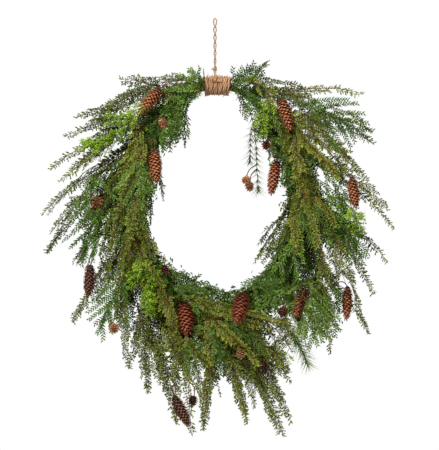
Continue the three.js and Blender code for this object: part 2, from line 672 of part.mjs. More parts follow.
function leafTip(shoot, i, face) {
  const before = shoot.stations[i - 1];
  const after = shoot.stations[i];
  const out = {
    [BACK_FACE]: after.front.clone().negate(),
    [RIGHT_FACE]: after.side.clone(),
    [FRONT_FACE]: after.front.clone(),
    [LEFT_FACE]: after.side.clone().negate(),
  }[face];
  const half = (before.half + after.half) / 2;
  const root = before.spot.clone().lerp(after.spot, 0.5).addScaledVector(out, half);
  const swing = shoot.kind.faces === ALL_ROUND ? LEAF_SWING * (i % 2 === 0 ? 1 : -1) : 0;
  out.applyAxisAngle(after.forward, radians(swing + draw(-LEAF_TURN, LEAF_TURN)));
  const lean = radians(shoot.kind.lean + draw(-LEAF_LEAN_SPREAD, LEAF_LEAN_SPREAD));
  const direction = out.multiplyScalar(Math.sin(lean)).addScaledVector(after.forward, Math.cos(lean));
  const length = shoot.kind.leaf * shoot.kind.fullness(after.share) * draw(...LEAF_LENGTHS);
  const wide = (before.spot.distanceTo(after.spot) / 2) * Math.sin(lean);
  return { root, tip: root.clone().addScaledVector(direction, length), wide };
}

function growLeaf(room, shoot, i, face) {
  const { root, tip, wide } = leafTip(shoot, i, face);
  const from = root.clone().lerp(tip, LEAF_START);
  if (room.clearance(from, tip, wide, SLIM, LEAF_GAP + 1, [shoot]) < LEAF_GAP) return;
  room.add(from, tip, wide, SLIM, shoot);
  shoot.leaves.push({ segment: i, face, tip });
}

// The longest tip that has room. A stalk has its tip from the start.
function growTip(room, shoot) {
  if (shoot.tip) return;
  const last = shoot.stations.at(-1);
  const reach = last.half * Math.SQRT2;
  const tips = [...TIP_LENGTHS.map((share) => share * shoot.kind.leaf), TIP_LENGTH_LEAST].map((length) => {
    return last.spot.clone().addScaledVector(last.forward, length);
  });
  const isClear = (tip) => room.clearance(last.spot, tip, reach, SLIM, LEAF_GAP + 1, [shoot]) >= LEAF_GAP;
  shoot.tip = tips.find(isClear) ?? tips.at(-1);
  room.add(last.spot, shoot.tip, reach, SLIM, shoot);
}

function allShoots(shoot) {
  return [shoot, ...shoot.children.flatMap(allShoots)];
}

function growLeaves(room, shoots) {
  shoots.forEach((shoot) => growTip(room, shoot));
  const longest = Math.max(...shoots.map((shoot) => shoot.stations.length));
  for (let i = 1; i < longest; i++) {
    for (const shoot of shoots) {
      if (!shoot.stations[i]?.leafy) continue;
      for (const face of shoot.kind.faces) {
        if (shoot.children.some((child) => child.segment === i && child.face === face)) continue;
        growLeaf(room, shoot, i, face);
      }
    }
  }
}

function stemRound(body, { spot, side, front, half }) {
  return [[-1, -1], [1, -1], [1, 1], [-1, 1]].map(([u, v]) => {
    return body.point(spot.clone().addScaledVector(side, u * half).addScaledVector(front, v * half));
  });
}

// Adds a shoot to a body from the round of four corners that it grows out of.
function buildShoot(body, shoot, base) {
  let below = base;
  for (let i = 1; i < shoot.stations.length; i++) {
    const above = stemRound(body, shoot.stations[i]);
    for (const face of ALL_ROUND) {
      const next = (face + 1) % 4;
      const [a, b, c, d] = [below[face], below[next], above[next], above[face]];
      const child = shoot.children.find((other) => other.segment === i && other.face === face);
      const leaf = shoot.leaves.find((other) => other.segment === i && other.face === face);
      if (child) buildShoot(body, child, face === RIGHT_FACE ? [d, a, b, c] : [b, c, d, a]);
      else if (leaf) body.spike([a, b, c, d], leaf.tip);
      else body.quad(a, b, c, d);
    }
    below = above;
  }
  body.spike(below, shoot.tip);
}

function makeBough(bough) {
  const body = new Body();
  const root = stemRound(body, bough.main.stations[0]);
  body.quad(root[3], root[2], root[1], root[0]);
  buildShoot(body, bough.main, root);
  return body.geometry();
}

// Cones: rows of scales in a diamond pattern, each drawn out to a tip near its lower corner.

// Radius of a cone along its length, as a share of its largest: rounded at the base and fuller above the tip.
function coneRadius(share, isBud) {
  const along = 0.08 + 0.9 * share ** (isBud ? BUD_BLUNT : CONE_BLUNT);
  return CONE_END + (1 - CONE_END) * Math.sin(Math.PI * along) ** 0.62;
}

function makeCone({ base, tip, thickness, isBud }) {
  const body = new Body();
  const sides = isBud ? BUD_SIDES : CONE_SIDES;
  const rows = isBud ? BUD_ROWS : CONE_ROWS;
  const axis = tip.clone().sub(base);
  const length = axis.length();
  axis.normalize();
  const across = new THREE.Vector3(1, 0, 0).cross(axis).normalize();
  const along = axis.clone().cross(across);
  const scaleHeight = thickness * (isBud ? BUD_SCALE : CONE_SCALE);
  const place = (row, turn, lift) => {
    const share = row / rows;
    const angle = (turn * 2 * Math.PI) / sides;
    const radius = (thickness / 2 - scaleHeight) * coneRadius(share, isBud) + lift;
    const spot = base.clone().addScaledVector(axis, length * share);
    return spot.addScaledVector(across, radius * Math.cos(angle)).addScaledVector(along, radius * Math.sin(angle));
  };
  const rounds = Array.from({ length: rows + 1 }, (_, row) => {
    return Array.from({ length: sides }, (_, k) => body.point(place(row, k + (row % 2) / 2, 0)));
  });
  const step = (row, k) => rounds[row][(k + sides) % sides];
  for (let k = 0; k < sides; k++) {
    body.faces.push(step(0, k), step(0, k + 1), step(1, k));
    const last = rows % 2 === 0 ? step(rows - 1, k) : step(rows - 1, k + 1);
    body.faces.push(step(rows, k + 1), step(rows, k), last);
  }
  for (let row = 1; row < rows; row++) {
    const shift = row % 2;
    for (let k = 0; k < sides; k++) {
      const corners = [step(row, k), step(row - 1, k + shift), step(row, k + 1), step(row + 1, k + shift)];
      body.spike(corners, place(row + SCALE_DROP, k + shift / 2 + 0.5, scaleHeight));
    }
  }
  body.spike([...rounds[0]].reverse(), base);
  body.spike(rounds[rows], tip);
  return body.geometry();
}

// A cone comes in from the front until it meets the stems, and gets a stalk from the nearest one.
function settleCone(room, shoots, [name, base, tip, thickness, nod]) {
  const spread = thickness / 2;
  const fits = (depth) => {
    const a = new THREE.Vector3(base[0], depth, base[1]);
    const b = new THREE.Vector3(tip[0], depth - nod, tip[1]);
    return room.clearance(a, b, spread, spread, CONE_GAP + 1, []) > CONE_GAP;
  };
  const spots = [];
  for (const shoot of shoots) {
    for (let i = 2; i < shoot.stations.length; i++) {
      const { spot } = shoot.stations[i];
      const away = Math.hypot(spot.x - base[0], spot.z - base[1]) + Math.max(0, base[1] - spot.z);
      spots.push({ shoot, segment: i, away, depth: spot.y });
    }
  }
  spots.sort((a, b) => a.away - b.away);
  let depth = CONE_START;
  while (depth < spots[0].depth && fits(depth + 1)) depth += 1;
  const cone = {
    name, thickness, isBud: Math.hypot(base[0] - tip[0], base[1] - tip[1]) < BUD_LENGTH_MOST,
    base: new THREE.Vector3(base[0], depth, base[1]), tip: new THREE.Vector3(tip[0], depth - nod, tip[1]),
  };
  room.add(cone.base, cone.tip, spread, spread * CONE_TAPER, cone);
  addStalk(room, cone, spots);
  return cone;
}

function stalkFits(room, stalk, cone, parent) {
  return stalk.stations.slice(1).every(({ spot, half }, i) => {
    const ignored = i < BOUND_STRETCHES ? [cone, parent] : [cone];
    const reach = reachAt(stalk, i);
    return room.clearance(stalk.stations[i].spot, spot, reach, half * Math.SQRT2, LEAF_GAP + 1, ignored) > LEAF_GAP;
  });
}

function addStalk(room, cone, spots) {
  const axis = cone.tip.clone().sub(cone.base).normalize();
  const end = cone.base.clone().addScaledVector(axis, -STALK_GAP);
  const near = spots.slice(0, STALK_TRIES).sort((a, b) => {
    return a.shoot.stations[a.segment].spot.distanceTo(end) - b.shoot.stations[b.segment].spot.distanceTo(end);
  });
  for (const { shoot, segment } of near) {
    const { face, out, reach, start } = faceTowards(shoot, segment, end);
    if (shoot.children.some((child) => child.segment === segment && child.face === face)) continue;
    const away = start.distanceTo(end);
    if (away < STALK_SHORTEST) continue;
    const at = shoot.stations[segment];
    const direction = at.forward.clone().multiplyScalar(0.5).add(out).normalize();
    const first = start.clone().addScaledVector(direction, STALK_OUT * away);
    const second = end.clone().addScaledVector(axis, -STALK_IN * away);
    const curve = new THREE.CubicBezierCurve3(start, first, second, end);
    const stalk = makeShoot(KINDS.stalk, curve, at.front, face, reach, shoot.owner);
    stalk.stations.pop();
    if (stalk.stations.length < 2) continue;
    if (stalk.stations.some(({ spot }) => spot.clone().sub(cone.base).dot(axis) > -2 * STALK_GAP)) continue;
    if (!stalkFits(room, stalk, cone, shoot)) continue;
    Object.assign(stalk, { segment, tip: end });
    shoot.children.push(stalk);
    claimStem(room, stalk);
    return;
  }
  throw new Error(`no stalk for ${cone.name}`);
}

// Assembly

function material(colour, roughness) {
  return new THREE.MeshStandardMaterial({ color: colour, roughness, metalness: 0 });
}

function addPiece(group, name, geometry, colour, roughness) {
  const mesh = new THREE.Mesh(geometry, material(colour, roughness));
  mesh.name = name;
  group.add(mesh);
}

function claimFixedPieces(room, wirePoints) {
  const hoopRadius = HOOP_THICKNESS / 2 / Math.cos(Math.PI / HOOP_SIDES);
  for (let i = 0; i < HOOP_STEPS; i++) {
    const ends = [hoopPoint(RIGHT, (2 * i) / HOOP_STEPS), hoopPoint(RIGHT, (2 * i + 2) / HOOP_STEPS)];
    room.add(...ends, hoopRadius, hoopRadius, "hoop");
  }
  for (let i = 1; i < wirePoints.length; i++) {
    room.add(wirePoints[i - 1], wirePoints[i], WIRE_THICKNESS / 2, WIRE_THICKNESS / 2, "wire");
  }
  const wrapEnds = [LEFT, RIGHT].map((side) => hoopPoint(side, WRAP_SHARE * WRAP_CORE));
  room.add(...wrapEnds, WRAP_HEIGHT / 2, WRAP_HEIGHT / 2, "wrap");
  const way = hangerWay();
  room.add(way[0].spot, way.at(-1).spot, HANGER_REACH, HANGER_REACH, "hanger");
}

const wreath = new THREE.Group();
const room = new Room();
const wire = new WireHelix();
claimFixedPieces(room, wire.getPoints(WIRE_TURNS * WIRE_STEPS_PER_TURN));
const wireRod = makeRod(wire, WIRE_THICKNESS / 2, WIRE_SIDES, WIRE_TURNS * WIRE_STEPS_PER_TURN);
addPiece(wreath, "hoop", makeHoop(), VINE_COLOUR, 0.9);
addPiece(wreath, "binding_wire", wireRod, WIRE_COLOUR, 0.5);
addPiece(wreath, "twine_wrap", makeWrap(), JUTE_COLOUR, 0.95);
addPiece(wreath, "twine_hanger", makeHanger(), JUTE_COLOUR, 0.95);

const boughs = BOUGHS.map((plan) => bindBough(room, plan));
const stems = boughs.flatMap((bough) => allShoots(bough.main));
const cones = CONES.map((plan) => settleCone(room, stems, plan));
growLeaves(room, stems);

for (const bough of boughs) addPiece(wreath, bough.name, makeBough(bough), KINDS[bough.kindName].colour, 0.7);
for (const cone of cones) addPiece(wreath, cone.name, makeCone(cone), CONE_COLOUR, 0.75);

export default wreath;
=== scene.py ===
import itertools
import math
import random

import bpy
import numpy as np
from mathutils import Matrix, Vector


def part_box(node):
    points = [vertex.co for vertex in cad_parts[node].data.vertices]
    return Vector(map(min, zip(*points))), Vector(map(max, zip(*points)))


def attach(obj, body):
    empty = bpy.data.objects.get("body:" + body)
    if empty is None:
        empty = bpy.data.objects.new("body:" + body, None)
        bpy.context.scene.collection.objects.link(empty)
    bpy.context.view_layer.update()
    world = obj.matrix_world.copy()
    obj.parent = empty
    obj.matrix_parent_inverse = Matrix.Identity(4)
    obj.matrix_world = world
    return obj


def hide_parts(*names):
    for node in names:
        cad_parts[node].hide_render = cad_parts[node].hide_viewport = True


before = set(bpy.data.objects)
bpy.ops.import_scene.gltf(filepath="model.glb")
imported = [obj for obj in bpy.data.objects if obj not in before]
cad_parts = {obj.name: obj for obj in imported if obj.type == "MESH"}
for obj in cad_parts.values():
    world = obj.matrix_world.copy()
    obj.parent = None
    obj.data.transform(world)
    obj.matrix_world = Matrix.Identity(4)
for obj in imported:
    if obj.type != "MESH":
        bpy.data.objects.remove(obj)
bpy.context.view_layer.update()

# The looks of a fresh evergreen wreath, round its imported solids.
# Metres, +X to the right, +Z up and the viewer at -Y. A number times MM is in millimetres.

MM = 0.001
TURN = 2 * math.pi
# The turn from one needle or cone scale to the next one up.
GOLDEN_TURN = 2.39996
VIEWER = np.array([0.0, -1.0, 0.0])
DOWN = np.array([0.0, 0.0, -1.0])
# A way that no stem follows, to take the first way across a stem from.
ASKEW = np.array([0.31, 0.83, 0.47])
chance = random.Random(337)

# Hoop, wrap and hanger, as in the part's source, apart from the wrap's length, which is 58 mm there.
HOOP_CENTRE = np.array([5.0, 0.0, -380.0]) * MM
HOOP_HALF_WIDTH = 168 * MM
HOOP_HALF_HEIGHT = 236 * MM
WRAP_LENGTH = 60 * MM
WRAP_HEIGHT = 45 * MM
WRAP_TURNS = 11
TWINE = 3 * MM
HALF_TWIST = 17 * MM
KNOT_HEIGHT = -109 * MM

# How much higher than their solids the wrap and the hanger are drawn.
WRAP_RISE = 3 * MM

# The door behind presses the backmost leaves flat.
PRESSED_FROM = 12 * MM
PRESSED_DEPTH = 9.5 * MM

# In front the leaves, and the fronts of the foremost cones, are pressed together, to stay near the solids' depth.
CROWDED_FROM = -70 * MM
CROWDED_DEPTH = 33 * MM

# Leaves end at the edge of the hole, give or take a ragged margin that waves along x and z, in radians a metre.
EDGE_MARGIN = -3 * MM
EDGE_RAGGED = 7 * MM
EDGE_WAVES = (9000, 7000)

# The end of a bough's stem is drawn as leaflets alone: so much of it, but no more than this share.
TIP_OF_LEAVES = 24 * MM
TIP_SHARE_MOST = 0.12

# How thick a stem is drawn, as a share of the solid's.
STEM_SHARE = 0.7


# Camera, light and floor

CAMERA_PLACE = (0.0097, -4.0, -0.4445)
CAMERA_LENS_MM = 147.4
SENSOR_WIDTH_MM = 36
AMBIENT = 0.02
FLOOR_RADIUS = 1.9
FLOOR_HEIGHT = -1.35

# Each area light: its name, place, aim, width in metres, power in watts and colour.
LIGHTS = (
    ("key", (-1.3, -2.5, 1.5), (0, 0, -0.45), 0.45, 104, (1.0, 0.975, 0.915)),
    ("fill", (2.2, -2.6, 0.2), (0, 0, -0.45), 1.6, 7, (0.97, 0.98, 1.0)),
    ("low", (0.0, -2.8, -1.1), (0, 0, -0.5), 1.2, 6, (1, 1, 1)),
    ("top", (0.1, -0.7, 1.6), (0, 0, -0.4), 0.8, 22, (1.0, 0.99, 0.97)),
    ("back", (0.4, 3.0, 0.6), (0, 0, -0.45), 2.0, 26, (1, 1, 1)),
)


def add_camera():
    bpy.ops.object.camera_add(location=CAMERA_PLACE, rotation=(math.pi / 2, 0, 0))
    camera = bpy.context.object
    camera.data.sensor_width = SENSOR_WIDTH_MM
    camera.data.lens = CAMERA_LENS_MM
    bpy.context.scene.camera = camera
    bpy.context.scene.view_settings.view_transform = "Standard"


def add_light(name, place, aim, size, power, colour_of_light):
    bpy.ops.object.light_add(type="AREA", location=place)
    light = bpy.context.object
    light.name = name
    light.data.size = size
    light.data.energy = power
    light.data.color = colour_of_light
    light.rotation_euler = (Vector(aim) - Vector(place)).to_track_quat("-Z", "Y").to_euler()


def colour(hex_value):
    """An sRGB hex colour as linear values."""
    parts = [int(hex_value[i:i + 2], 16) / 255 for i in (1, 3, 5)]
    linear = [p / 12.92 if p <= 0.04045 else ((p + 0.055) / 1.055) ** 2.4 for p in parts]
    return (*linear, 1.0)


# Sockets of a colour Mix node, which have the same names as its number sockets.
FACTOR, COLOUR_A, COLOUR_B, MIXED = 0, 6, 7, 2


def add_node(owner, kind, settings=None, links=None):
    """Adds a node to a material or a world, with its settings and the outputs that its inputs take."""
    tree = owner.node_tree
    node = tree.nodes.new(kind)
    for key, value in (settings or {}).items():
        if isinstance(key, int) or key in node.inputs:
            node.inputs[key].default_value = value
        else:
            setattr(node, key, value)
    for key, source in (links or {}).items():
        tree.links.new(source, node.inputs[key])
    return node


def empty_material(name):
    material = bpy.data.materials.new(name)
    material.use_nodes = True
    material.node_tree.nodes.clear()
    return material


def set_world():
    """White behind the wreath, and hardly any light from it."""
    world = bpy.data.worlds.new("studio")
    bpy.context.scene.world = world
    world.use_nodes = True
    world.node_tree.nodes.clear()
    path = add_node(world, "ShaderNodeLightPath")
    seen = add_node(world, "ShaderNodeBackground", {"Color": (1, 1, 1, 1), "Strength": 1.0})
    light = add_node(world, "ShaderNodeBackground", {"Color": (1, 1, 1, 1), "Strength": AMBIENT})
    both = add_node(world, "ShaderNodeMixShader", {}, {
        0: path.outputs["Is Camera Ray"], 1: light.outputs[0], 2: seen.outputs[0]})
    add_node(world, "ShaderNodeOutputWorld", {}, {"Surface": both.outputs[0]})


def add_floor():
    """White paper, matt from its pressed fibres, so that it shows only soft shade."""
    bpy.ops.mesh.primitive_circle_add(vertices=96, radius=FLOOR_RADIUS, fill_type="NGON",
                                      location=(0, 0, FLOOR_HEIGHT))
    floor = bpy.context.object
    floor.name = "studio_floor"
    material = empty_material("matt white paper")
    paper = add_node(material, "ShaderNodeBsdfPrincipled", {"Base Color": colour("#f4f4f2"), "Roughness": 0.9})
    add_node(material, "ShaderNodeOutputMaterial", {}, {"Surface": paper.outputs["BSDF"]})
    floor.data.materials.append(material)


# Materials. The attributes of a mesh carry two values: "age" from the foot of a leaf, scale or twig to its tip,
# and "tone" from a dark plant to a yellow one. Low ages are drawn dark, partly as painted shade; in twine, age runs
# from the crease between its plies, drawn dark as painted shade, to their crown.

def scale_of(grain_mm):
    """The scale of a pattern whose grains are so many millimetres wide."""
    return 1000 / grain_mm


def leaf_material(name, old, young, yellow_old, yellow_young, roughness, mottle_mm):
    """Leaves and needles as they grow, under a thin skin of their own wax.

    The wax gives a soft sheen, and the colour goes from brown inside the plant to a pale tip. The near-black foot is
    also painted shade, for the gaps between sprays. Real mottling is about 1 mm wide or finer. It is drawn 4 to 7 mm
    wide, which is what it takes to show.
    """
    material = empty_material(name)
    age = add_node(material, "ShaderNodeAttribute", {"attribute_name": "age"})
    tone = add_node(material, "ShaderNodeAttribute", {"attribute_name": "tone"})
    place = add_node(material, "ShaderNodeTexCoord")
    mottle = add_node(material, "ShaderNodeTexNoise", {"Scale": scale_of(mottle_mm), "Detail": 2.0},
                      {"Vector": place.outputs["Object"]})
    dark = add_node(material, "ShaderNodeMix",
                    {"data_type": "RGBA", COLOUR_A: colour(old), COLOUR_B: colour(yellow_old)},
                    {FACTOR: tone.outputs["Fac"]})
    light = add_node(material, "ShaderNodeMix",
                     {"data_type": "RGBA", COLOUR_A: colour(young), COLOUR_B: colour(yellow_young)},
                     {FACTOR: tone.outputs["Fac"]})
    leaf = add_node(material, "ShaderNodeMix", {"data_type": "RGBA"},
                    {FACTOR: age.outputs["Fac"], COLOUR_A: dark.outputs[MIXED], COLOUR_B: light.outputs[MIXED]})
    # Below age 0.2 the colour sinks to near black: old brown wood, and painted shade in the gaps between sprays.
    inner = add_node(material, "ShaderNodeMapRange", {"From Min": 0.0, "From Max": 0.2},
                     {"Value": age.outputs["Fac"]})
    browned_and_shaded = add_node(material, "ShaderNodeMix", {"data_type": "RGBA", COLOUR_A: colour("#1c1a06")},
                       {FACTOR: inner.outputs["Result"], COLOUR_B: leaf.outputs[MIXED]})
    value = add_node(material, "ShaderNodeMapRange",
                     {"From Min": 0.25, "From Max": 0.75, "To Min": 0.5, "To Max": 1.5},
                     {"Value": mottle.outputs["Fac"]})
    mottled = add_node(material, "ShaderNodeHueSaturation", {},
                       {"Value": value.outputs["Result"], "Color": browned_and_shaded.outputs[MIXED]})
    shader = add_node(material, "ShaderNodeBsdfPrincipled",
                      {"Roughness": roughness, "IOR": 1.45, "Specular IOR Level": 0.3},
                      {"Base Color": mottled.outputs["Color"]})
    add_node(material, "ShaderNodeOutputMaterial", {}, {"Surface": shader.outputs["BSDF"]})
    return material


def streaked_material(name, dark, light, streak_mm, roughness):
    """Bark, or thread: fibres and flakes in two browns, matt and slightly rough to the eye.

    Real flakes and fibres are about 0.2 to 0.5 mm wide. They are drawn 2 to 5 mm wide, which is what it takes to show.
    """
    material = empty_material(name)
    place = add_node(material, "ShaderNodeTexCoord")
    streaks = add_node(material, "ShaderNodeTexNoise", {"Scale": scale_of(streak_mm), "Detail": 4.0},
                       {"Vector": place.outputs["Object"]})
    browns = add_node(material, "ShaderNodeMix",
                      {"data_type": "RGBA", COLOUR_A: colour(dark), COLOUR_B: colour(light)},
                      {FACTOR: streaks.outputs["Fac"]})
    bump = add_node(material, "ShaderNodeBump", {"Strength": 0.4, "Distance": 0.5 * MM},
                    {"Height": streaks.outputs["Fac"]})
    shader = add_node(material, "ShaderNodeBsdfPrincipled", {"Roughness": roughness},
                      {"Base Color": browns.outputs[MIXED], "Normal": bump.outputs["Normal"]})
    add_node(material, "ShaderNodeOutputMaterial", {}, {"Surface": shader.outputs["BSDF"]})
    return material


def scale_material(name, inner, outer, edge):
    """Woody cone scales, dried on the tree: dark at the root, which is painted shade where the scales overlap, warm on
    the face and pale at the thin rim.

    Real grooves are about 0.3 mm wide. They are drawn 1.5 mm wide, which is what it takes to show.
    """
    material = empty_material(name)
    age = add_node(material, "ShaderNodeAttribute", {"attribute_name": "age"})
    place = add_node(material, "ShaderNodeTexCoord")
    grooves = add_node(material, "ShaderNodeTexNoise", {"Scale": scale_of(1.5), "Detail": 3.0},
                       {"Vector": place.outputs["Object"]})
    ramp = add_node(material, "ShaderNodeValToRGB", {}, {"Fac": age.outputs["Fac"]})
    stops = ramp.color_ramp.elements
    # The root colour is painted shade where the scales overlap.
    stops[0].position, stops[0].color = 0.35, colour(inner)
    stops[1].position, stops[1].color = 0.75, colour(outer)
    rim = stops.new(0.97)
    rim.color = colour(edge)
    value = add_node(material, "ShaderNodeMapRange", {"To Min": 0.7, "To Max": 1.3},
                     {"Value": grooves.outputs["Fac"]})
    grooved = add_node(material, "ShaderNodeHueSaturation", {},
                       {"Value": value.outputs["Result"], "Color": ramp.outputs["Color"]})
    shader = add_node(material, "ShaderNodeBsdfPrincipled", {"Roughness": 0.5},
                      {"Base Color": grooved.outputs["Color"]})
    add_node(material, "ShaderNodeOutputMaterial", {}, {"Surface": shader.outputs["BSDF"]})
    return material


def jute_material():
    """Jute: dull tan bast fibres, spun. Streaks run along the twine, and the grooves between its plies are painted
    dark, as shade.

    Real fibres are about 0.1 mm wide. They are drawn 1.6 mm wide and five times as long, which is what it takes
    to show. Patches of 9 mm are a little lighter or darker, as in hand-sorted fibre.
    """
    material = empty_material("spun jute twine")
    age = add_node(material, "ShaderNodeAttribute", {"attribute_name": "age"})
    place = add_node(material, "ShaderNodeTexCoord")
    along = add_node(material, "ShaderNodeMapping", {"Scale": (1.0, 1.0, 0.2)},
                     {"Vector": place.outputs["Object"]})
    fibres = add_node(material, "ShaderNodeTexNoise", {"Scale": scale_of(1.6), "Detail": 5.0, "Roughness": 0.7},
                      {"Vector": along.outputs["Vector"]})
    patches = add_node(material, "ShaderNodeTexNoise", {"Scale": scale_of(9.0), "Detail": 2.0},
                       {"Vector": place.outputs["Object"]})
    ramp = add_node(material, "ShaderNodeValToRGB", {}, {"Fac": fibres.outputs["Fac"]})
    stops = ramp.color_ramp.elements
    stops[0].position, stops[0].color = 0.34, colour("#b48560")
    stops[1].position, stops[1].color = 0.62, colour("#e2bb94")
    # Low age, in the crease between the plies, takes a darker brown: painted shade.
    ply_crease_shade = add_node(material, "ShaderNodeMix", {"data_type": "RGBA", COLOUR_A: colour("#94684a")},
                      {FACTOR: age.outputs["Fac"], COLOUR_B: ramp.outputs["Color"]})
    value = add_node(material, "ShaderNodeMapRange", {"To Min": 0.8, "To Max": 1.2},
                     {"Value": patches.outputs["Fac"]})
    patched = add_node(material, "ShaderNodeHueSaturation", {},
                       {"Value": value.outputs["Result"], "Color": ply_crease_shade.outputs[MIXED]})
    bump = add_node(material, "ShaderNodeBump", {"Strength": 0.7, "Distance": 0.6 * MM},
                    {"Height": fibres.outputs["Fac"]})
    shader = add_node(material, "ShaderNodeBsdfPrincipled", {"Roughness": 0.9, "Specular IOR Level": 0.2},
                      {"Base Color": patched.outputs["Color"], "Normal": bump.outputs["Normal"]})
    add_node(material, "ShaderNodeOutputMaterial", {}, {"Surface": shader.outputs["BSDF"]})
    return material


def wire_material():
    """Florist's wire: drawn steel dipped in green lacquer, which gives a dark green with a small bright glint."""
    material = empty_material("green lacquered wire")
    lacquer = add_node(material, "ShaderNodeBsdfPrincipled",
                       {"Base Color": colour("#23402a"), "Roughness": 0.35, "Coat Weight": 0.3})
    add_node(material, "ShaderNodeOutputMaterial", {}, {"Surface": lacquer.outputs["BSDF"]})
    return material


# Small shapes that repeat. Each is modelled once, lies along +X from 0 to 1, and is copied into the pieces.

def unit(vector):
    """A vector, or each of many, at length 1."""
    return vector / (np.linalg.norm(vector, axis=-1, keepdims=True) + 1e-12)


class Shape:
    """Corners, triangles and the share of the way to the tip of one small shape."""

    def __init__(self, corners, triangles, smooth=False):
        self.corners = np.asarray(corners, float)
        self.triangles = np.asarray(triangles, int)
        self.age = np.clip(self.corners[:, 0], 0, 1)
        self.smooth = smooth


def take_shape(piece, smooth=False):
    """Reads a modelled piece into a Shape and removes the piece."""
    mesh = piece.data
    mesh.calc_loop_triangles()
    corners = np.array([v.co for v in mesh.vertices])
    triangles = np.array([t.vertices for t in mesh.loop_triangles])
    bpy.data.objects.remove(piece)
    return Shape(corners, triangles, smooth)


def choose(piece, test):
    """Selects, in edit mode, the corners of a piece that pass a test on their place."""
    bpy.ops.object.mode_set(mode="OBJECT")
    for polygon in piece.data.polygons:
        polygon.select = False
    for edge in piece.data.edges:
        edge.select = False
    for vertex in piece.data.vertices:
        vertex.select = bool(test(vertex.co))
    bpy.ops.object.mode_set(mode="EDIT")


def add_spike():
    """A three-sided spike, from which needles and leaves are made."""
    bpy.ops.object.select_all(action="DESELECT")
    bpy.ops.mesh.primitive_cone_add(vertices=3, radius1=0.5, radius2=0, depth=1, end_fill_type="NGON",
                                    location=(0.5, 0, 0), rotation=(0, math.pi / 2, 0))
    bpy.ops.object.transform_apply(location=True, rotation=True, scale=True)
    return bpy.context.object


def model_needle():
    """A three-sided needle that tapers from its foot to its point."""
    return take_shape(add_spike())


def model_leaf(waist, fold):
    """A pointed leaf, widest at its waist and folded along its midrib, whose foot lies at the origin."""
    piece = add_spike()
    foot = [v.co.copy() for v in piece.data.vertices if v.co.x < 0.5]
    keel = max(foot, key=lambda co: abs(co.z))
    wings = [co for co in foot if co is not keel]
    choose(piece, lambda co: (co - keel).length < 0.01)
    bpy.ops.transform.translate(value=-keel)
    upwards = 1 if keel.z < 0 else -1
    for hand, wing in zip((1 if wings[0].y > 0 else -1, 1 if wings[1].y > 0 else -1), wings):
        choose(piece, lambda co: (co - wing).length < 0.01)
        bpy.ops.transform.translate(value=(waist - wing.x, hand * 0.5 - wing.y, upwards * fold - wing.z))
    bpy.ops.object.mode_set(mode="OBJECT")
    return take_shape(piece)


def model_scale():
    """A cone scale: a cupped rounded diamond, thin at its rim."""
    bpy.ops.object.select_all(action="DESELECT")
    bpy.ops.mesh.primitive_grid_add(x_subdivisions=2, y_subdivisions=2, size=1, location=(0.5, 0, 0))
    piece = bpy.context.object
    bpy.ops.object.transform_apply(location=True, rotation=True, scale=True)
    choose(piece, lambda co: co.x < 0.1)
    bpy.ops.transform.resize(value=(1, 0.35, 1), center_override=(0, 0, 0))
    choose(piece, lambda co: co.x > 0.9)
    bpy.ops.transform.resize(value=(1, 0.55, 1), center_override=(1, 0, 0))
    choose(piece, lambda co: co.x > 0.9 and abs(co.y) < 0.2)
    bpy.ops.transform.translate(value=(0.06, 0, 0.02))
    choose(piece, lambda co: abs(co.y) > 0.3)
    bpy.ops.transform.translate(value=(-0.04, 0, -0.16))
    choose(piece, lambda co: co.x > 0.9)
    bpy.ops.transform.translate(value=(0, 0, 0.1))
    bpy.ops.object.mode_set(mode="OBJECT")
    solid = piece.modifiers.new("wall", "SOLIDIFY")
    solid.thickness = 0.09
    bpy.ops.object.modifier_apply(modifier="wall")
    return take_shape(piece, smooth=True)


def join_shapes(parts):
    """One shape of several copies, each with its 3x4 placing matrix and its ages at base and tip."""
    corners, triangles, ages, count = [], [], [], 0
    for shape, matrix, base_age, tip_age in parts:
        corners.append(shape.corners @ matrix[:, :3].T + matrix[:, 3])
        triangles.append(shape.triangles + count)
        ages.append(base_age + (tip_age - base_age) * shape.age)
        count += len(shape.corners)
    joined = Shape(np.concatenate(corners), np.concatenate(triangles))
    joined.age = np.concatenate(ages)
    return joined


def placing(origin, along, across, up):
    """The 3x4 matrix that puts a shape at a place, with its length, width and thickness along three ways."""
    return np.column_stack([along, across, up, origin])


def turned(angle_deg):
    """The way along X, turned in the flat of a spray."""
    angle = math.radians(angle_deg)
    return np.array([math.cos(angle), math.sin(angle), 0.0])


def branchlet(draws, length, leaflets, breadth=3.3, long=9.5):
    """A side spray of cedar: a thin midrib with blunt leaflets on both sides. Its measures are in millimetres."""
    rib, width = 1.5 / length, breadth / length
    parts = [(NEEDLE, placing([0, 0, 0], [0.9, 0, 0], [0, rib, 0], [0, 0, rib]), 0.0, 0.5)]
    for i in range(leaflets):
        share = 0.1 + 0.78 * i / max(leaflets - 1, 1)
        side = 1 if i % 2 == 0 else -1
        reach = long * draws.uniform(0.82, 1.15) * (1 - 0.35 * share) / length
        direction = turned(side * draws.uniform(24, 40))
        across = np.array([-direction[1], direction[0], 0.0])
        direction[2] = draws.uniform(-0.25, 0.25)
        matrix = placing([share, 0, 0], reach * direction, width * across, [0, 0, 0.75 * width])
        parts.append((LEAF, matrix, 0.12 * share, 0.75 + 0.25 * share))
    parts.append((LEAF, placing([0.76, 0, 0], [0.3, 0, 0], [0, width, 0], [0, 0, 0.75 * width]), 0.3, 1.0))
    shape = join_shapes(parts)
    droop = 0.09 * shape.corners[:, 0] ** 2
    shape.corners[:, 2] -= droop
    return shape


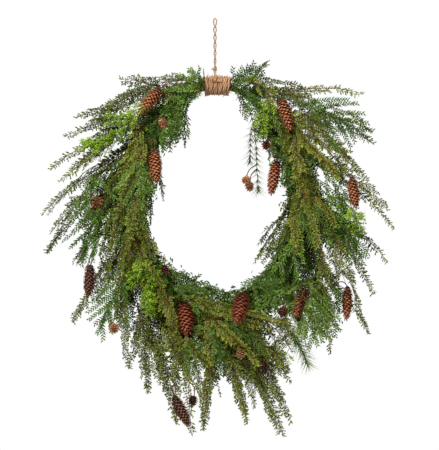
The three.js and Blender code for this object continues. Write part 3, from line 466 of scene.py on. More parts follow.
def sprout(draws, leaflets):
    """A juniper sprout: a short twig set all round with stubby scale leaves."""
    parts = [(NEEDLE, placing([0, 0, 0], [0.9, 0, 0], [0, 0.1, 0], [0, 0, 0.1]), 0.0, 0.6)]
    for i in range(leaflets):
        share = 0.2 + 0.7 * i / (leaflets - 1)
        roll = i * 2.4 + draws.uniform(-0.3, 0.3)
        out = np.array([0, math.cos(roll), math.sin(roll)])
        lean = math.radians(60 - 30 * share)
        direction = math.sin(lean) * out + np.array([math.cos(lean), 0, 0])
        side = unit(np.cross(direction, out))
        up = np.cross(direction, side)
        matrix = placing([share, 0, 0], 0.42 * draws.uniform(0.8, 1.2) * direction, 0.24 * side, 0.2 * up)
        parts.append((LEAF, matrix, 0.4 * share, 0.6 + 0.4 * share))
    return join_shapes(parts)


NEEDLE = model_needle()
LEAF = model_leaf(waist=0.58, fold=0.3)
BLADE = model_leaf(waist=0.35, fold=0.35)
SCALE = model_scale()

# Side sprays by length, a few of each so that neighbours differ. The broad ones fill in behind.
BRANCHLETS = {
    "long": [branchlet(random.Random(i), 29, 9) for i in range(5)],
    "middling": [branchlet(random.Random(10 + i), 20, 6) for i in range(4)],
    "short": [branchlet(random.Random(20 + i), 12, 3) for i in range(3)],
    "broad": [branchlet(random.Random(30 + i), 36, 5, 5.0, 16) for i in range(3)],
}
SPROUTS = [sprout(random.Random(40 + i), 5) for i in range(3)]


# A piece in the making: copies of small shapes and swept stems, which then become one mesh.

class Growth:
    """The corners, triangles, ages, tones and materials of one piece."""

    def __init__(self, materials, hole_left_open=False):
        self.hole_left_open = hole_left_open
        self.materials = materials
        self.corners, self.triangles = [], []
        self.age, self.tone, self.finish, self.smooth = [], [], [], []
        self.count = 0

    def add(self, corners, triangles, age, tone, finish, smooth):
        self.corners.append(corners)
        self.triangles.append(triangles + self.count)
        self.age.append(age)
        self.tone.append(np.full(len(corners), tone) if np.isscalar(tone) else tone)
        self.finish.append(np.full(len(triangles), self.materials.index(finish)))
        self.smooth.append(np.full(len(triangles), smooth))
        self.count += len(corners)

    def copies(self, shape, matrices, ages, tones, finish):
        """Copies of a shape. ages has a lowest and a highest age for each copy, tones one tone each."""
        matrices, ages, tones = np.asarray(matrices), np.asarray(ages), np.asarray(tones)
        if finish in LEAVES:
            seen = ~over_cone_or_wrap(matrices)
            if self.hole_left_open and len(matrices):
                tips = matrices[:, :, 3] + matrices[:, :, 0]
                ragged = EDGE_RAGGED * np.sin(EDGE_WAVES[0] * tips[:, 0] + EDGE_WAVES[1] * tips[:, 2])
                seen &= ~in_hole(tips, ragged + EDGE_MARGIN)
            matrices, ages, tones = matrices[seen], ages[seen], tones[seen]
        n, k = len(matrices), len(shape.corners)
        if n == 0:
            return
        corners = np.einsum("nij,kj->nki", matrices[:, :, :3], shape.corners) + matrices[:, None, :, 3]
        triangles = shape.triangles[None] + (np.arange(n) * k)[:, None, None]
        age = ages[:, :1] + (ages[:, 1:] - ages[:, :1]) * shape.age[None]
        self.add(corners.reshape(-1, 3), triangles.reshape(-1, 3), age.ravel(), np.repeat(tones, k), finish,
                 shape.smooth)

    def stem(self, points, radii, sides, age, tone, finish):
        """A rod along points. One that may not cross the hole ends at its edge."""
        if self.hole_left_open and (inside := in_hole(points, EDGE_MARGIN)).any():
            points, radii = points[:inside.argmax()], radii[:inside.argmax()]
            if len(points) < 2:
                return
        corners, triangles = swept(points, radii, sides)
        ages = np.repeat(np.linspace(age[0], age[1], len(points)), sides)
        self.add(corners, triangles, np.append(ages, [age[0], age[1]]), tone, finish, True)

    def raise_by(self, rise):
        self.corners = [corners + [0, 0, rise] for corners in self.corners]

    def piece(self, name, slot, *nodes):
        """Makes the mesh, which stands for the CAD nodes named."""
        mesh = bpy.data.meshes.new(name)
        corners, triangles = pressed(np.concatenate(self.corners)), np.concatenate(self.triangles)
        mesh.vertices.add(len(corners))
        mesh.vertices.foreach_set("co", corners.astype(np.float32).ravel())
        mesh.loops.add(triangles.size)
        mesh.loops.foreach_set("vertex_index", triangles.astype(np.int32).ravel())
        mesh.polygons.add(len(triangles))
        mesh.polygons.foreach_set("loop_start", np.arange(0, triangles.size, 3, dtype=np.int32))
        mesh.polygons.foreach_set("loop_total", np.full(len(triangles), 3, dtype=np.int32))
        mesh.polygons.foreach_set("material_index", np.concatenate(self.finish).astype(np.int32))
        mesh.polygons.foreach_set("use_smooth", np.concatenate(self.smooth))
        for key, values in (("age", self.age), ("tone", self.tone)):
            attribute = mesh.attributes.new(key, "FLOAT", "POINT")
            attribute.data.foreach_set("value", np.concatenate(values).astype(np.float32))
        mesh.update(calc_edges=True)
        for material in self.materials:
            mesh.materials.append(material)
        piece = bpy.data.objects.new(name, mesh)
        bpy.context.scene.collection.objects.link(piece)
        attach(piece, "root")
        if nodes:
            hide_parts(*nodes)


def pressed(corners):
    """The corners, flat where they meet the door and pressed together in front."""
    behind = np.maximum(corners[:, 1] - PRESSED_FROM, 0)
    flattened = PRESSED_FROM + PRESSED_DEPTH * np.tanh(behind / PRESSED_DEPTH)
    corners[:, 1] = np.minimum(corners[:, 1], flattened)
    ahead = np.maximum(CROWDED_FROM - corners[:, 1], 0)
    crowded = CROWDED_FROM - CROWDED_DEPTH * np.tanh(ahead / CROWDED_DEPTH)
    corners[:, 1] = np.maximum(corners[:, 1], crowded)
    return corners


# The share of the wrap's length and height, each way from its middle, that leaves stay clear of.
WRAP_KEPT_CLEAR = (0.47, 0.6)


def over_cone_or_wrap(matrices):
    """Which copies would hide a cone or the wrap. Those are put on last, over the leaves."""
    hidden = np.zeros(len(matrices), bool)
    if not len(matrices):
        return hidden
    for along in (0.5, 1.0):
        spots = matrices[:, :, 3] + along * matrices[:, :, 0]
        aside = np.abs(spots[:, [0, 2]] - HOOP_CENTRE[[0, 2]] - [0, HOOP_HALF_HEIGHT + WRAP_RISE])
        hidden |= (aside < [WRAP_KEPT_CLEAR[0] * WRAP_LENGTH, WRAP_KEPT_CLEAR[1] * WRAP_HEIGHT]).all(1)
        for base, tip, thickness in CONES:
            axis = (tip - base)[[0, 2]]
            off = spots[:, [0, 2]] - base[[0, 2]]
            at = np.clip(off @ axis / (axis @ axis), 0.05, 1)
            wide = np.linalg.norm(off - at[:, None] * axis, axis=1)
            in_front = spots[:, 1] < base[1] + at * (tip - base)[1] + 0.2 * thickness
            hidden |= (wide < 0.46 * thickness) & in_front
    return hidden


def directions(points):
    """The way a line runs at each of its points."""
    return unit(np.gradient(points, axis=0))


def carried(points, first):
    """Unit vectors across a line, carried along it without twist from the first one."""
    forward = directions(points)
    out = [unit(first - forward[0] * (first @ forward[0]))]
    for f in forward[1:]:
        side = out[-1] - f * (out[-1] @ f)
        out.append(unit(side))
    return np.array(out)


def length_along(points):
    """The run of a line from its start to each of its points."""
    return np.append(0, np.cumsum(np.linalg.norm(np.diff(points, axis=0), axis=1)))


def swept(points, radii, sides):
    """A round rod along points, closed by a point at each end."""
    across = carried(points, ASKEW)
    other = np.cross(directions(points), across)
    turns = (np.arange(sides) * TURN / sides)[None, :, None]
    rounds = across[:, None] * np.cos(turns) + other[:, None] * np.sin(turns)
    corners = (points[:, None] + rounds * np.asarray(radii)[:, None, None]).reshape(-1, 3)
    n, k = len(points), np.arange(sides)
    after = (k + 1) % sides
    triangles = []
    for i in range(n - 1):
        a, b = i * sides, (i + 1) * sides
        triangles.append(np.column_stack([a + k, a + after, b + after]))
        triangles.append(np.column_stack([a + k, b + after, b + k]))
    start, end = n * sides, n * sides + 1
    triangles.append(np.column_stack([np.full(sides, start), after, k]))
    last = (n - 1) * sides
    triangles.append(np.column_stack([np.full(sides, end), last + k, last + after]))
    return np.concatenate([corners, [points[0], points[-1]]]), np.concatenate(triangles)


def smoothed(points, step):
    """A smooth line through points, as evenly spaced places about a step apart."""
    points = np.asarray(points)
    if len(points) < 3:
        points = np.array([points[0], (points[0] + points[-1]) / 2, points[-1]])
    padded = np.concatenate([[2 * points[0] - points[1]], points, [2 * points[-1] - points[-2]]])
    fine = []
    for i in range(1, len(padded) - 2):
        a, b, c, d = padded[i - 1:i + 3]
        for t in np.linspace(0, 1, 8, endpoint=False):
            fine.append(0.5 * (2 * b + (c - a) * t + (2 * a - 5 * b + 4 * c - d) * t * t
                               + (3 * b - a - 3 * c + d) * t ** 3))
    fine.append(points[-1])
    return resampled(np.array(fine), step)


def resampled(fine, step):
    """The same line as evenly spaced places about a step apart, and at least three."""
    run = length_along(fine)
    wanted = np.linspace(0, run[-1], max(3, int(round(run[-1] / step)) + 1))
    return np.column_stack([np.interp(wanted, run, fine[:, i]) for i in range(3)])


def long_axis(node):
    """Base, tip and thickness of a cone's solid. Every cone hangs with its tip down."""
    corners = np.array([v.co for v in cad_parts[node].data.vertices])
    middle = corners.mean(0)
    _, _, axes = np.linalg.svd(corners - middle, full_matrices=False)
    axis = axes[0] if axes[0][2] < 0 else -axes[0]
    at = (corners - middle) @ axis
    off = np.linalg.norm(corners - middle - np.outer(at, axis), axis=1)
    return middle + axis * at.min(), middle + axis * at.max(), 2 * np.percentile(off, 95)


# Little cones that have no solid of their own: foot, tip (x, depth, z) and thickness in mm, and their look.
LITTLE_CONES = [
    ((-217, -52, -659), (-215, -65, -672), 19, "light"),
    ((52, -66, -708), (57, -68, -730), 16, "light"),
    ((104, -42, -738), (108, -46, -764), 17, "dark"),
    ((-110, -46, -530), (-104, -50, -552), 17, "red"),
]

# Small cones drawn opened, with a size of their own: thickness and length in mm, and the way their tip points.
OPENED = {
    "bud_left_top": (24, 20, (0.1, -0.9, -0.35)),
    "bud_left": (26, 26, (-0.1, -0.85, -0.5)),
    "bud_right_top": (17, 18, (0, -0.6, -0.8)),
    "bud_right_foot": (20, 20, (0.1, -0.8, -0.6)),
    "bud_lowest": (19, 21, (-0.2, -0.4, -0.9)),
    "bud_larch_high": (16, 19, (-0.5, -0.7, -0.3)),
    "bud_larch_low": (18, 22, (0.2, -0.5, -0.9)),
}


def lie_of(node):
    """Foot, tip and thickness of a cone that has a solid. The opened ones turn their scales to the viewer."""
    base, tip, thickness = long_axis(node)
    if node in OPENED:
        thickness, length, way = OPENED[node]
        middle, way = (base + tip) / 2 - [0, 6 * MM, 0], unit(np.array(way))
        return middle - way * length / 2 * MM, middle + way * length / 2 * MM, thickness * MM
    return base, tip, thickness


CONE_NODES = sorted(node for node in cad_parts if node.startswith(("cone_", "bud_")))
CONES = [lie_of(node) for node in CONE_NODES]
CONES += [(np.array(foot) * MM, np.array(tip) * MM, thickness * MM) for foot, tip, thickness, _ in LITTLE_CONES]


# The stems of a bough, read from its solid: rounds of four corners, joined lengthwise.

# Edges shorter than these are the sides of such a round.
SHORT_EDGE = {"larch": 3.0 * MM, "fir": 3.62 * MM}
SHORT_EDGE_MOST = 3.9 * MM

# Corners of the solid nearer than this are one corner.
SAME_CORNER = 2e-6


def grouped(members, pairs):
    """Groups of members that pairs join."""
    group = {m: m for m in members}

    def head(m):
        while group[m] != m:
            m = group[m]
        return m
    for a, b in pairs:
        group[head(a)] = head(b)
    found = {}
    for m in members:
        found.setdefault(head(m), []).append(m)
    return list(found.values())


def read_rounds(spots, edges, most):
    """Corners that lie in one round of a stem. Groups that are too large are parted at their longest edges."""
    lengths = np.linalg.norm(spots[edges[:, 0]] - spots[edges[:, 1]], axis=1)
    short = edges[lengths < most]
    todo = [(g, most) for g in grouped(sorted(set(short.ravel())), short)]
    rounds = []

    def breadth(halves):
        return sum(np.ptp(spots[list(half)], axis=0).sum() for half in halves)

    while todo:
        group, limit = todo.pop()
        if len(group) <= 4:
            rounds.append(group)
        elif len(group) == 8:
            halves = [(h, [c for c in group if c not in h]) for h in itertools.combinations(group, 4)]
            rounds += map(list, min(halves, key=breadth))
        else:
            limit *= 0.96
            inside = [(a, b) for a, b in short
                      if a in group and b in group and np.linalg.norm(spots[a] - spots[b]) < limit]
            todo += [(g, limit) for g in grouped(group, inside)]
    return [r for r in rounds if len(r) == 4]


def read_shoots(node):
    """The shoots of a bough: their stations, the way their flat side faces, half thickness and leaf tips."""
    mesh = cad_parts[node].data
    mesh.calc_loop_triangles()
    corners = np.array([v.co for v in mesh.vertices])
    _, first, back = np.unique(np.round(corners / SAME_CORNER).astype(np.int64), axis=0, return_index=True,
                               return_inverse=True)
    spots = corners[first]
    triangles = back.reshape(-1)[np.array([t.vertices for t in mesh.loop_triangles])]
    edges = np.unique(np.sort(triangles[:, [0, 1, 1, 2, 2, 0]].reshape(-1, 2), axis=1), axis=0)
    edges = edges[edges[:, 0] != edges[:, 1]]
    rounds = read_rounds(spots, edges, SHORT_EDGE.get(node.split("_")[0], SHORT_EDGE_MOST))
    owner = {c: r for r, corners_of in enumerate(rounds) for c in corners_of}

    # A round joins the next along a stem by all four corners. A fork grows out of its parent by fewer.
    touching, tips = {}, {}
    for a, b in edges:
        for one, other in ((a, b), (b, a)):
            if one not in owner:
                tips.setdefault(one, set()).add(other)
            elif other in owner and owner[one] != owner[other]:
                touching.setdefault((owner[one], owner[other]), set()).add(one)
    joined = {r: set() for r in range(len(rounds))}
    grown = {r: set() for r in range(len(rounds))}
    for (a, b), corners_of in touching.items():
        lengthwise = len(corners_of) == 4 and len(touching.get((b, a), ())) == 4
        (joined if lengthwise else grown)[a].add(b)

    # A corner outside the rounds ends a shoot where it touches one of them, and a leaf where it touches two.
    centre = np.array([spots[r].mean(0) for r in rounds])
    leaves, ends = [], {}
    for tip, corners_of in tips.items():
        on = {owner[c] for c in corners_of if c in owner}
        if len(on) == 1:
            ends[on.pop()] = spots[tip]
        elif len(on) == 2:
            leaves.append((on, spots[tip]))
    shoots, used = [], set()
    for end, point in ends.items():
        line, before = [end], None
        used.add(end)
        while True:
            onward = [r for r in joined[line[-1]] if r != before and r not in used]
            if len(onward) != 1:
                break
            before = line[-1]
            line.append(onward[0])
            used.add(onward[0])
        line.reverse()
        parents = [r for r in grown[line[0]] if r not in line]
        base = centre[parents].mean(0) if len(parents) >= 2 else None
        shoots.append({"rounds": line, "base": base, "end": point})
    for shoot in shoots:
        line = shoot["rounds"]
        own = [tip - centre[list(on)].mean(0) for on, tip in leaves if all(r in line for r in on)]
        shoot["leaves"] = own
        shoot["half"] = [0.5 * min(np.linalg.norm(spots[rounds[r][0]] - spots[c]) for c in rounds[r][1:])
                         for r in line]
        points = [centre[r] for r in line]
        if shoot["base"] is not None:
            points.insert(0, shoot["base"])
            shoot["half"].insert(0, shoot["half"][0])
        points.append(shoot["end"])
        shoot["half"].append(0.3 * MM)
        shoot["points"] = np.array(points)
        forward = unit(points[-1] - points[0])
        if own:
            flat = np.array(own) - np.outer(np.array(own) @ forward, forward)
            _, _, axes = np.linalg.svd(flat)
            side = axes[0]
        else:
            side = np.cross(forward, VIEWER)
        shoot["side"] = unit(side)
    return shoots


# Foliage on a shoot

# Side sprays of cedar: their length along a shoot as shares of the longest, how many of them are missing, how far
# they lean off the shoot at its foot, in degrees, how much less at its tip, and how much they droop.
SPRAY_PLACES, SPRAY_SHARES = (0, 0.25, 0.6, 1), (0.65, 1.0, 0.7, 0.3)
SPRAYS_MISSING = 0.08
SPRAY_LEAN, SPRAY_LEAN_LOST = 36, 10
SPRAY_DROOP = 0.18
LONG_SPRAY, MIDDLING_SPRAY = 23 * MM, 15 * MM

# Fir: its needles per cm, and the spaces between its side twigs.
FIR_NEEDLES = 3.8
FIR_TWIGS_APART = 16 * MM


def spray_size(length):
    """Which of the modelled side sprays has about the length wanted."""
    return "long" if length > LONG_SPRAY else "middling" if length > MIDDLING_SPRAY else "short"


def sprayed_cedar(growth, shoot, tone, reach=31 * MM, step=11.5 * MM, bare=0.06, broad=False, fresh=1.0):
    """Flat side sprays in two ranks, longest a third of the way along and short at the tip."""
    line = smoothed(shoot["points"], step / 2)
    side = carried(line, shoot["side"])
    forward = directions(line)
    n = len(line)
    total = step / 2 * n
    reach = min(reach, 0.3 * total + 6 * MM)
    placed = {}
    waves, phase = chance.uniform(1.2, 2.6), chance.uniform(0, 6)
    for i in range(int(n * bare), n - 1):
        share = i / (n - 1)
        rank = 1 if i % 2 == 0 else -1
        if chance.random() < SPRAYS_MISSING:
            continue
        length = reach * np.interp(share, SPRAY_PLACES, SPRAY_SHARES) * chance.uniform(0.75, 1.15)
        length *= 0.92 + 0.22 * math.sin(6.28 * waves * share + phase + 1.3 * rank)
        lean = math.radians(SPRAY_LEAN - SPRAY_LEAN_LOST * share + chance.uniform(-11, 9))
        out = rank * side[i]
        normal = np.cross(forward[i], out)
        out = unit(out + normal * chance.uniform(-0.45, 0.45))
        along = unit(math.cos(lean) * forward[i] + math.sin(lean) * out + SPRAY_DROOP * DOWN)
        across = unit(out - along * (out @ along))
        up = np.cross(along, across)
        size = "broad" if broad else spray_size(length)
        which = (size, chance.randrange(len(BRANCHLETS[size])))
        # Broad backing sprays keep the lowest ages, and fresh below 1 lowers the others: darker leaves deep in the
        # wreath, a painted shade.
        ages = (0.0, 0.3) if broad else (0.12 * share * fresh, (0.75 + 0.25 * share) * fresh)
        matrix = placing(line[i], length * along, length * across, length * up)
        placed.setdefault(which, []).append((matrix, ages, tone + chance.uniform(-0.2, 0.2)))
    for (size, which), copies in placed.items():
        matrices, ages, tones = zip(*copies)
        growth.copies(BRANCHLETS[size][which], matrices, ages, tones, CEDAR)
    up = np.cross(forward[-1], side[-1])
    tip = placing(line[-2], 11 * MM * forward[-1], 3.0 * MM * side[-1], 2.4 * MM * up)
    growth.copies(LEAF, [tip], [(0.6, 1.0)], [tone], CEDAR)
    stems(growth, line[::2], shoot, 0.42 * MM, 4, (0.0, 0.6), tone, CEDAR_BARK)


def stems(growth, line, shoot, least, sides, ages, tone, bark):
    """The woody stem of a shoot, thinner than in the solid, but nowhere thinner than the least."""
    at = np.linspace(0, 1, len(line))
    halves = np.interp(at, np.linspace(0, 1, len(shoot["half"])), shoot["half"])
    growth.stem(line, np.maximum(least, STEM_SHARE * halves), sides, ages, tone, bark)


def needled(growth, line, tone, length, per_cm, lean_deg, width, finish, start=0.0, fade=0.25, shape=None,
            flat=None, fresh=1.0):
    """Needles along a line: all round it by the golden turn, or combed to two sides where flat gives its side."""
    total = np.linalg.norm(np.diff(line, axis=0), axis=1).sum()
    n = max(4, int(total * 100 * per_cm))
    at = np.linspace(start, 0.995, n) * (len(line) - 1)
    share = at / (len(line) - 1)
    low = np.minimum(at.astype(int), len(line) - 2)
    part = (at - low)[:, None]
    spot = line[low] * (1 - part) + line[low + 1] * part
    forward = unit(directions(line)[low] * (1 - part) + directions(line)[low + 1] * part)
    across = carried(line, ASKEW if flat is None else flat)[low]
    other = np.cross(forward, across)
    jitter = np.array([[chance.uniform(-1, 1) for _ in range(4)] for _ in range(n)])
    step_turn, loose = (GOLDEN_TURN, 0.25) if flat is None else (math.pi, 0.7)
    turn = np.arange(n) * step_turn + loose * jitter[:, 0]
    out = across * np.cos(turn)[:, None] + other * np.sin(turn)[:, None]
    lean = np.radians(lean_deg + 8 * jitter[:, 1] - 10 * share)
    along = np.cos(lean)[:, None] * forward + np.sin(lean)[:, None] * out
    long = length * (1 - fade * share ** 3) * (1 + 0.14 * jitter[:, 2])
    side = unit(np.cross(along, out))
    up = np.cross(along, side)
    if flat is not None:
        side, up = up, -side
    matrices = np.stack([along * long[:, None], side * width, up * width * 0.8, spot], axis=2)
    # fresh below 1 darkens the needles: on older fir boughs, and in the filling, painted shade deep in the wreath.
    ages = np.column_stack([0.1 + 0.2 * share, 0.75 + 0.25 * share]) * fresh
    growth.copies(shape or NEEDLE, matrices, ages, tone + 0.2 * jitter[:, 3], finish)


def fir_twigs(growth, shoot, tone, length=12 * MM, fresh=1.0):
    """A fir shoot with short side twigs in two ranks, its needles combed to both sides."""
    line = smoothed(shoot["points"], 5 * MM)
    side = carried(line, shoot["side"])
    forward = directions(line)
    needled(growth, line, tone, length, per_cm=FIR_NEEDLES, lean_deg=54, width=3.7 * MM, finish=FIR, start=0.06,
            shape=BLADE, flat=shoot["side"], fresh=fresh)
    stems(growth, line, shoot, 0.5 * MM, 4, (0, 0.5), tone, FIR_BARK)
    total = np.linalg.norm(np.diff(line, axis=0), axis=1).sum()
    if total < 60 * MM:
        return
    rank = 1
    for share in np.arange(0.12, 0.88, FIR_TWIGS_APART / total):
        i = int(share * (len(line) - 1))
        swell = 0.16 + 0.26 * math.sin(math.pi * min(1, 0.25 + share))
        reach = swell * min(total, 200 * MM) * chance.uniform(0.8, 1.2)
        out = unit(rank * side[i] + chance.uniform(-0.35, 0.35) * np.cross(forward[i], side[i]))
        direction = unit(0.78 * forward[i] + 0.62 * out)
        curve = line[i] + np.outer(np.linspace(0, reach, 5), direction)
        curve += np.outer(np.linspace(0, 1, 5) ** 2 * reach * 0.12, forward[i] + DOWN)
        needled(growth, curve, tone + chance.uniform(-0.08, 0.1), length * 0.92, per_cm=FIR_NEEDLES,
                lean_deg=52, width=3.6 * MM, finish=FIR, shape=BLADE, flat=side[i], fresh=fresh)
        growth.stem(curve, np.linspace(0.8, 0.45, 5) * MM, 4, (0.2, 0.8), tone, FIR_BARK)
        rank = -rank


def pine_tufts(growth, shoot, tone):
    """Long soft needles in bundles round the last third of a twig, a few further down, and two side twigs."""
    line = smoothed(shoot["points"], 4 * MM)
    n = len(line)
    start = int(0.62 * n)
    needled(growth, line[start:], tone, 34 * MM, per_cm=12, lean_deg=52, width=2.2 * MM, finish=PINE, fade=0.1)
    needled(growth, line[int(0.2 * n):start + 2], tone, 26 * MM, per_cm=3.5, lean_deg=48, width=1.5 * MM,
            finish=PINE, fade=0.0)
    for share in (0.45, 0.6):
        i = int(share * n)
        out = unit(shoot["side"] * chance.choice((-1, 1)) + 0.3 * VIEWER)
        curve = line[i] + np.outer(np.linspace(0, 34 * MM, 4), unit(directions(line)[i] + 0.8 * out))
        needled(growth, curve, tone, 28 * MM, per_cm=12, lean_deg=52, width=2.2 * MM, finish=PINE, fade=0.1)
        growth.stem(curve, np.linspace(1.0, 0.6, 4) * MM, 5, (0.2, 0.8), tone, FIR_BARK)
    stems(growth, line, shoot, 0.6 * MM, 6, (0, 0.8), tone, CEDAR_BARK)


def larch_tufts(growth, shoot, tone):
    """Soft needles in tufts on short spurs along a hanging strand."""
    line = smoothed(shoot["points"], 4 * MM)
    n = len(line)
    total = np.linalg.norm(np.diff(line, axis=0), axis=1).sum()
    forward = directions(line)
    for share in np.arange(0.1, 1.0, 12 * MM / total):
        i = min(int(share * n), n - 2)
        spur = np.array([line[i], line[i] + 4 * MM * forward[i]])
        needled(growth, smoothed(spur, 1 * MM), tone, 25 * MM * chance.uniform(0.7, 1.1), per_cm=20, lean_deg=58,
                width=2.0 * MM, finish=LARCH, fade=0.0)
    needled(growth, line[-4:], tone, 19 * MM, per_cm=9, lean_deg=32, width=1.7 * MM, finish=LARCH)
    stems(growth, line, shoot, 0.7 * MM, 6, (0, 0.5), tone, LARCH_BARK)


def juniper_sprouts(growth, shoot, tone):
    """A brown-grey twig that ends in a loose head of bright sprouts."""
    line = smoothed(shoot["points"], 5.5 * MM)
    n = len(line)
    forward = directions(line)
    side = carried(line, shoot["side"])
    front = np.cross(side, forward)
    placed = [[] for _ in SPROUTS]
    for i in range(int(0.55 * n), n):
        share = (i - 0.55 * n) / (0.45 * n)
        for _ in range(4):
            angle = chance.uniform(0, TURN)
            out = math.cos(angle) * side[i] + 0.8 * math.sin(angle) * front[i]
            direction = unit(0.7 * out + forward[i] * chance.uniform(0.35, 0.9))
            reach = (17 - 5 * share) * MM * chance.uniform(0.55, 1.1)
            twig = line[i] + np.outer(np.linspace(0, reach, 3), direction)
            growth.stem(twig, np.array([0.6, 0.5, 0.4]) * MM, 3, (0.3, 0.7), tone, JUNIPER)
            for _ in range(2):
                along = unit(direction + 0.55 * np.array([chance.uniform(-1, 1) for _ in range(3)]))
                across = unit(np.cross(along, VIEWER))
                up = np.cross(along, across)
                size = chance.uniform(9.5, 13) * MM
                which = chance.randrange(len(SPROUTS))
                matrix = placing(twig[2] - 0.2 * size * along, size * along, size * across, size * up)
                youth = chance.uniform(0.8, 1.0)
                placed[which].append((matrix, (0.3, youth), tone + chance.uniform(-0.2, 0.2)))
    for which, copies in enumerate(placed):
        if copies:
            matrices, ages, tones = zip(*copies)
            growth.copies(SPROUTS[which], matrices, ages, tones, JUNIPER)
    stems(growth, line, shoot, 0.6 * MM, 6, (0, 0.4), tone, LARCH_BARK)


def stalk(growth, shoot):
    """The thin stalk of a cone."""
    line = smoothed(shoot["points"], 4 * MM)
    growth.stem(line, np.full(len(line), 1.1 * MM), 6, (0, 0.4), 0.5, CEDAR_BARK)


# Foliage: the colours of old and young leaves on a dark plant, then of old and young leaves on a yellow one. The old
# colours are near black: older leaves, and painted shade where the feet of the sprays show between them.

# Overlapping scales with a thin wax: deep green with a slight sheen, yellow-green at the tips.
CEDAR = leaf_material("waxy cedar scale leaves", "#122206", "#5e7c24", "#30380a", "#b4b842", 0.42, 4)
# Flat needles, the glossiest leaves of the wreath: dark green with small bright glints.
FIR = leaf_material("glossy fir needles", "#0c2808", "#4e8a2a", "#1e400a", "#a0c850", 0.35, 5)
# Thin needles, too thin for a sheen to show: soft grey-green.
PINE = leaf_material("soft white pine needles", "#2e5618", "#86a84c", "#4e702a", "#a8c062", 0.5, 7)
LARCH = leaf_material("soft larch needles", "#2a4416", "#5a7a30", "#3f5a1c", "#7c9a4c", 0.5, 7)
# This year's growth, still soft: bright lime, the palest part of the wreath.
JUNIPER = leaf_material("fresh juniper sprouts", "#2c5608", "#92c428", "#557e10", "#c6e44c", 0.45, 5)
LEAVES = (CEDAR, FIR, PINE, LARCH, JUNIPER)

# Wood: the dark and the light of its flakes.

# Young bark, still smooth: orange-brown lines between the green.
CEDAR_BARK = streaked_material("smooth cedar twig bark", "#48200e", "#8c4a20", 3, 0.6)
FIR_BARK = streaked_material("ridged fir twig bark", "#4a3a22", "#7d6a3c", 3, 0.7)
# Older bark that has weathered grey.
LARCH_BARK = streaked_material("weathered larch twig bark", "#57493a", "#8d7d68", 3, 0.75)
# Vine cut and dried for the hoop: matt, dark brown and coarse.
VINE_BARK = streaked_material("dried vine bark", "#3a2518", "#7d5a3e", 5, 0.85)
# Thread drawn through wax: a smooth red-brown line. That the mark on the wrap is such a stitch is a guess.
THREAD = streaked_material("waxed brown thread", "#5a2c16", "#a0623a", 2, 0.6)
# Jute down in the holes of the stitch, where hardly any light falls.
SHADED_JUTE = streaked_material("spun jute in shade", "#2a170c", "#4a2c18", 2, 0.9)

# Cones: root, face and rim of a scale; the dark root is painted shade where the scales overlap. How each seems to have
# dried is a guess from its colour.
LIGHT_CONE = scale_material("sun-dried larch cone scales", "#7a4626", "#c98a5a", "#eebc90")
CONE = scale_material("air-dried spruce cone scales", "#2a1008", "#914822", "#d08c58")
DARK_CONE = scale_material("weathered spruce cone scales", "#1c0e0a", "#532a1b", "#7f4e34")
RED_CONE = scale_material("fresh spruce cone scales", "#280e07", "#803418", "#a85c38")

JUTE = jute_material()
WIRE = wire_material()

# How yellow the leaves of each bough are, from 0 for the darkest to 1 for the brightest.
TONES = {
    "cedar_foot_left": 0.75, "cedar_foot_right": 0.45, "cedar_foot_middle": 0.35, "cedar_left_tail": 0.4,
    "cedar_foot_front": 0.95, "cedar_right_fall": 0.55, "cedar_left_skirt": 0.3, "cedar_left_hanging": 0.65,
    "cedar_right_low": 0.4, "cedar_right_hanging": 0.75, "cedar_left_low": 0.1, "cedar_left_mid": 0.1,
    "cedar_right_outer": 0.6, "cedar_left_front": 0.45, "cedar_right_front": 0.85, "cedar_right_mid": 0.35,
    "cedar_left_shoulder": 0.25, "cedar_right_reach": 0.7, "cedar_left_top": 0.1,
    "fir_right_low": 0.7, "fir_left_top": 0.85, "fir_foot_right": 0.4, "fir_right_top": 0.35,
}
USUAL_TONE = 0.35

# Fir boughs with this year's pale tips, and how far the others are from that.
FRESH_FIR = ("fir_left_top", "fir_right_low")
OLDER_FIR = 0.76

# How each kind of shoot grows, and the slot and the materials of its pieces.
GROW = {"cedar": sprayed_cedar, "fir": fir_twigs, "pine": pine_tufts, "larch": larch_tufts,
        "juniper": juniper_sprouts}
SLOTS = {kind: f"{kind}_foliage" for kind in GROW}
FINISHES = {
    "cedar": [CEDAR, CEDAR_BARK], "fir": [FIR, FIR_BARK, CEDAR_BARK], "pine": [PINE, FIR_BARK, CEDAR_BARK],
    "larch": [LARCH, LARCH_BARK, CEDAR_BARK], "juniper": [JUNIPER, LARCH_BARK, CEDAR_BARK],
}
# Backing is cedar behind the rest, its leaves kept dark: painted shade in the depths of the wreath.
SLOTS["backing"], FINISHES["backing"] = SLOTS["cedar"], FINISHES["cedar"]


def shortened(points):
    """A line without the last stretch that only leaflets reach into, with as many points."""
    run = length_along(points)
    kept = run * (1 - min(TIP_OF_LEAVES, TIP_SHARE_MOST * run[-1]) / run[-1])
    return np.column_stack([np.interp(kept, run, points[:, k]) for k in range(3)])


def grow_boughs():
    """Dresses every bough on the stems of its solid. Returns the leafy shoots, for the filling to follow."""
    leafy = []
    for node in sorted(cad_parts):
        kind = node.split("_")[0]
        if kind not in GROW:
            continue
        growth = Growth(FINISHES[kind], hole_left_open=kind == "cedar")
        for shoot in read_shoots(node):
            if not shoot["leaves"]:
                stalk(growth, shoot)
                continue
            shoot["points"] = shortened(shoot["points"])
            tone = TONES.get(node, USUAL_TONE) + chance.uniform(-0.08, 0.08)
            if kind == "fir":
                fir_twigs(growth, shoot, tone, fresh=1.0 if node in FRESH_FIR else OLDER_FIR)
            else:
                GROW[kind](growth, shoot, tone)
            shoot["kind"] = kind
            leafy.append(shoot)
        growth.piece(f"{node}_sprays", SLOTS[kind], node)
    return leafy


# Filling: shoots between the boughs, which grow out of the hoop or a bough's stem and follow their neighbours.

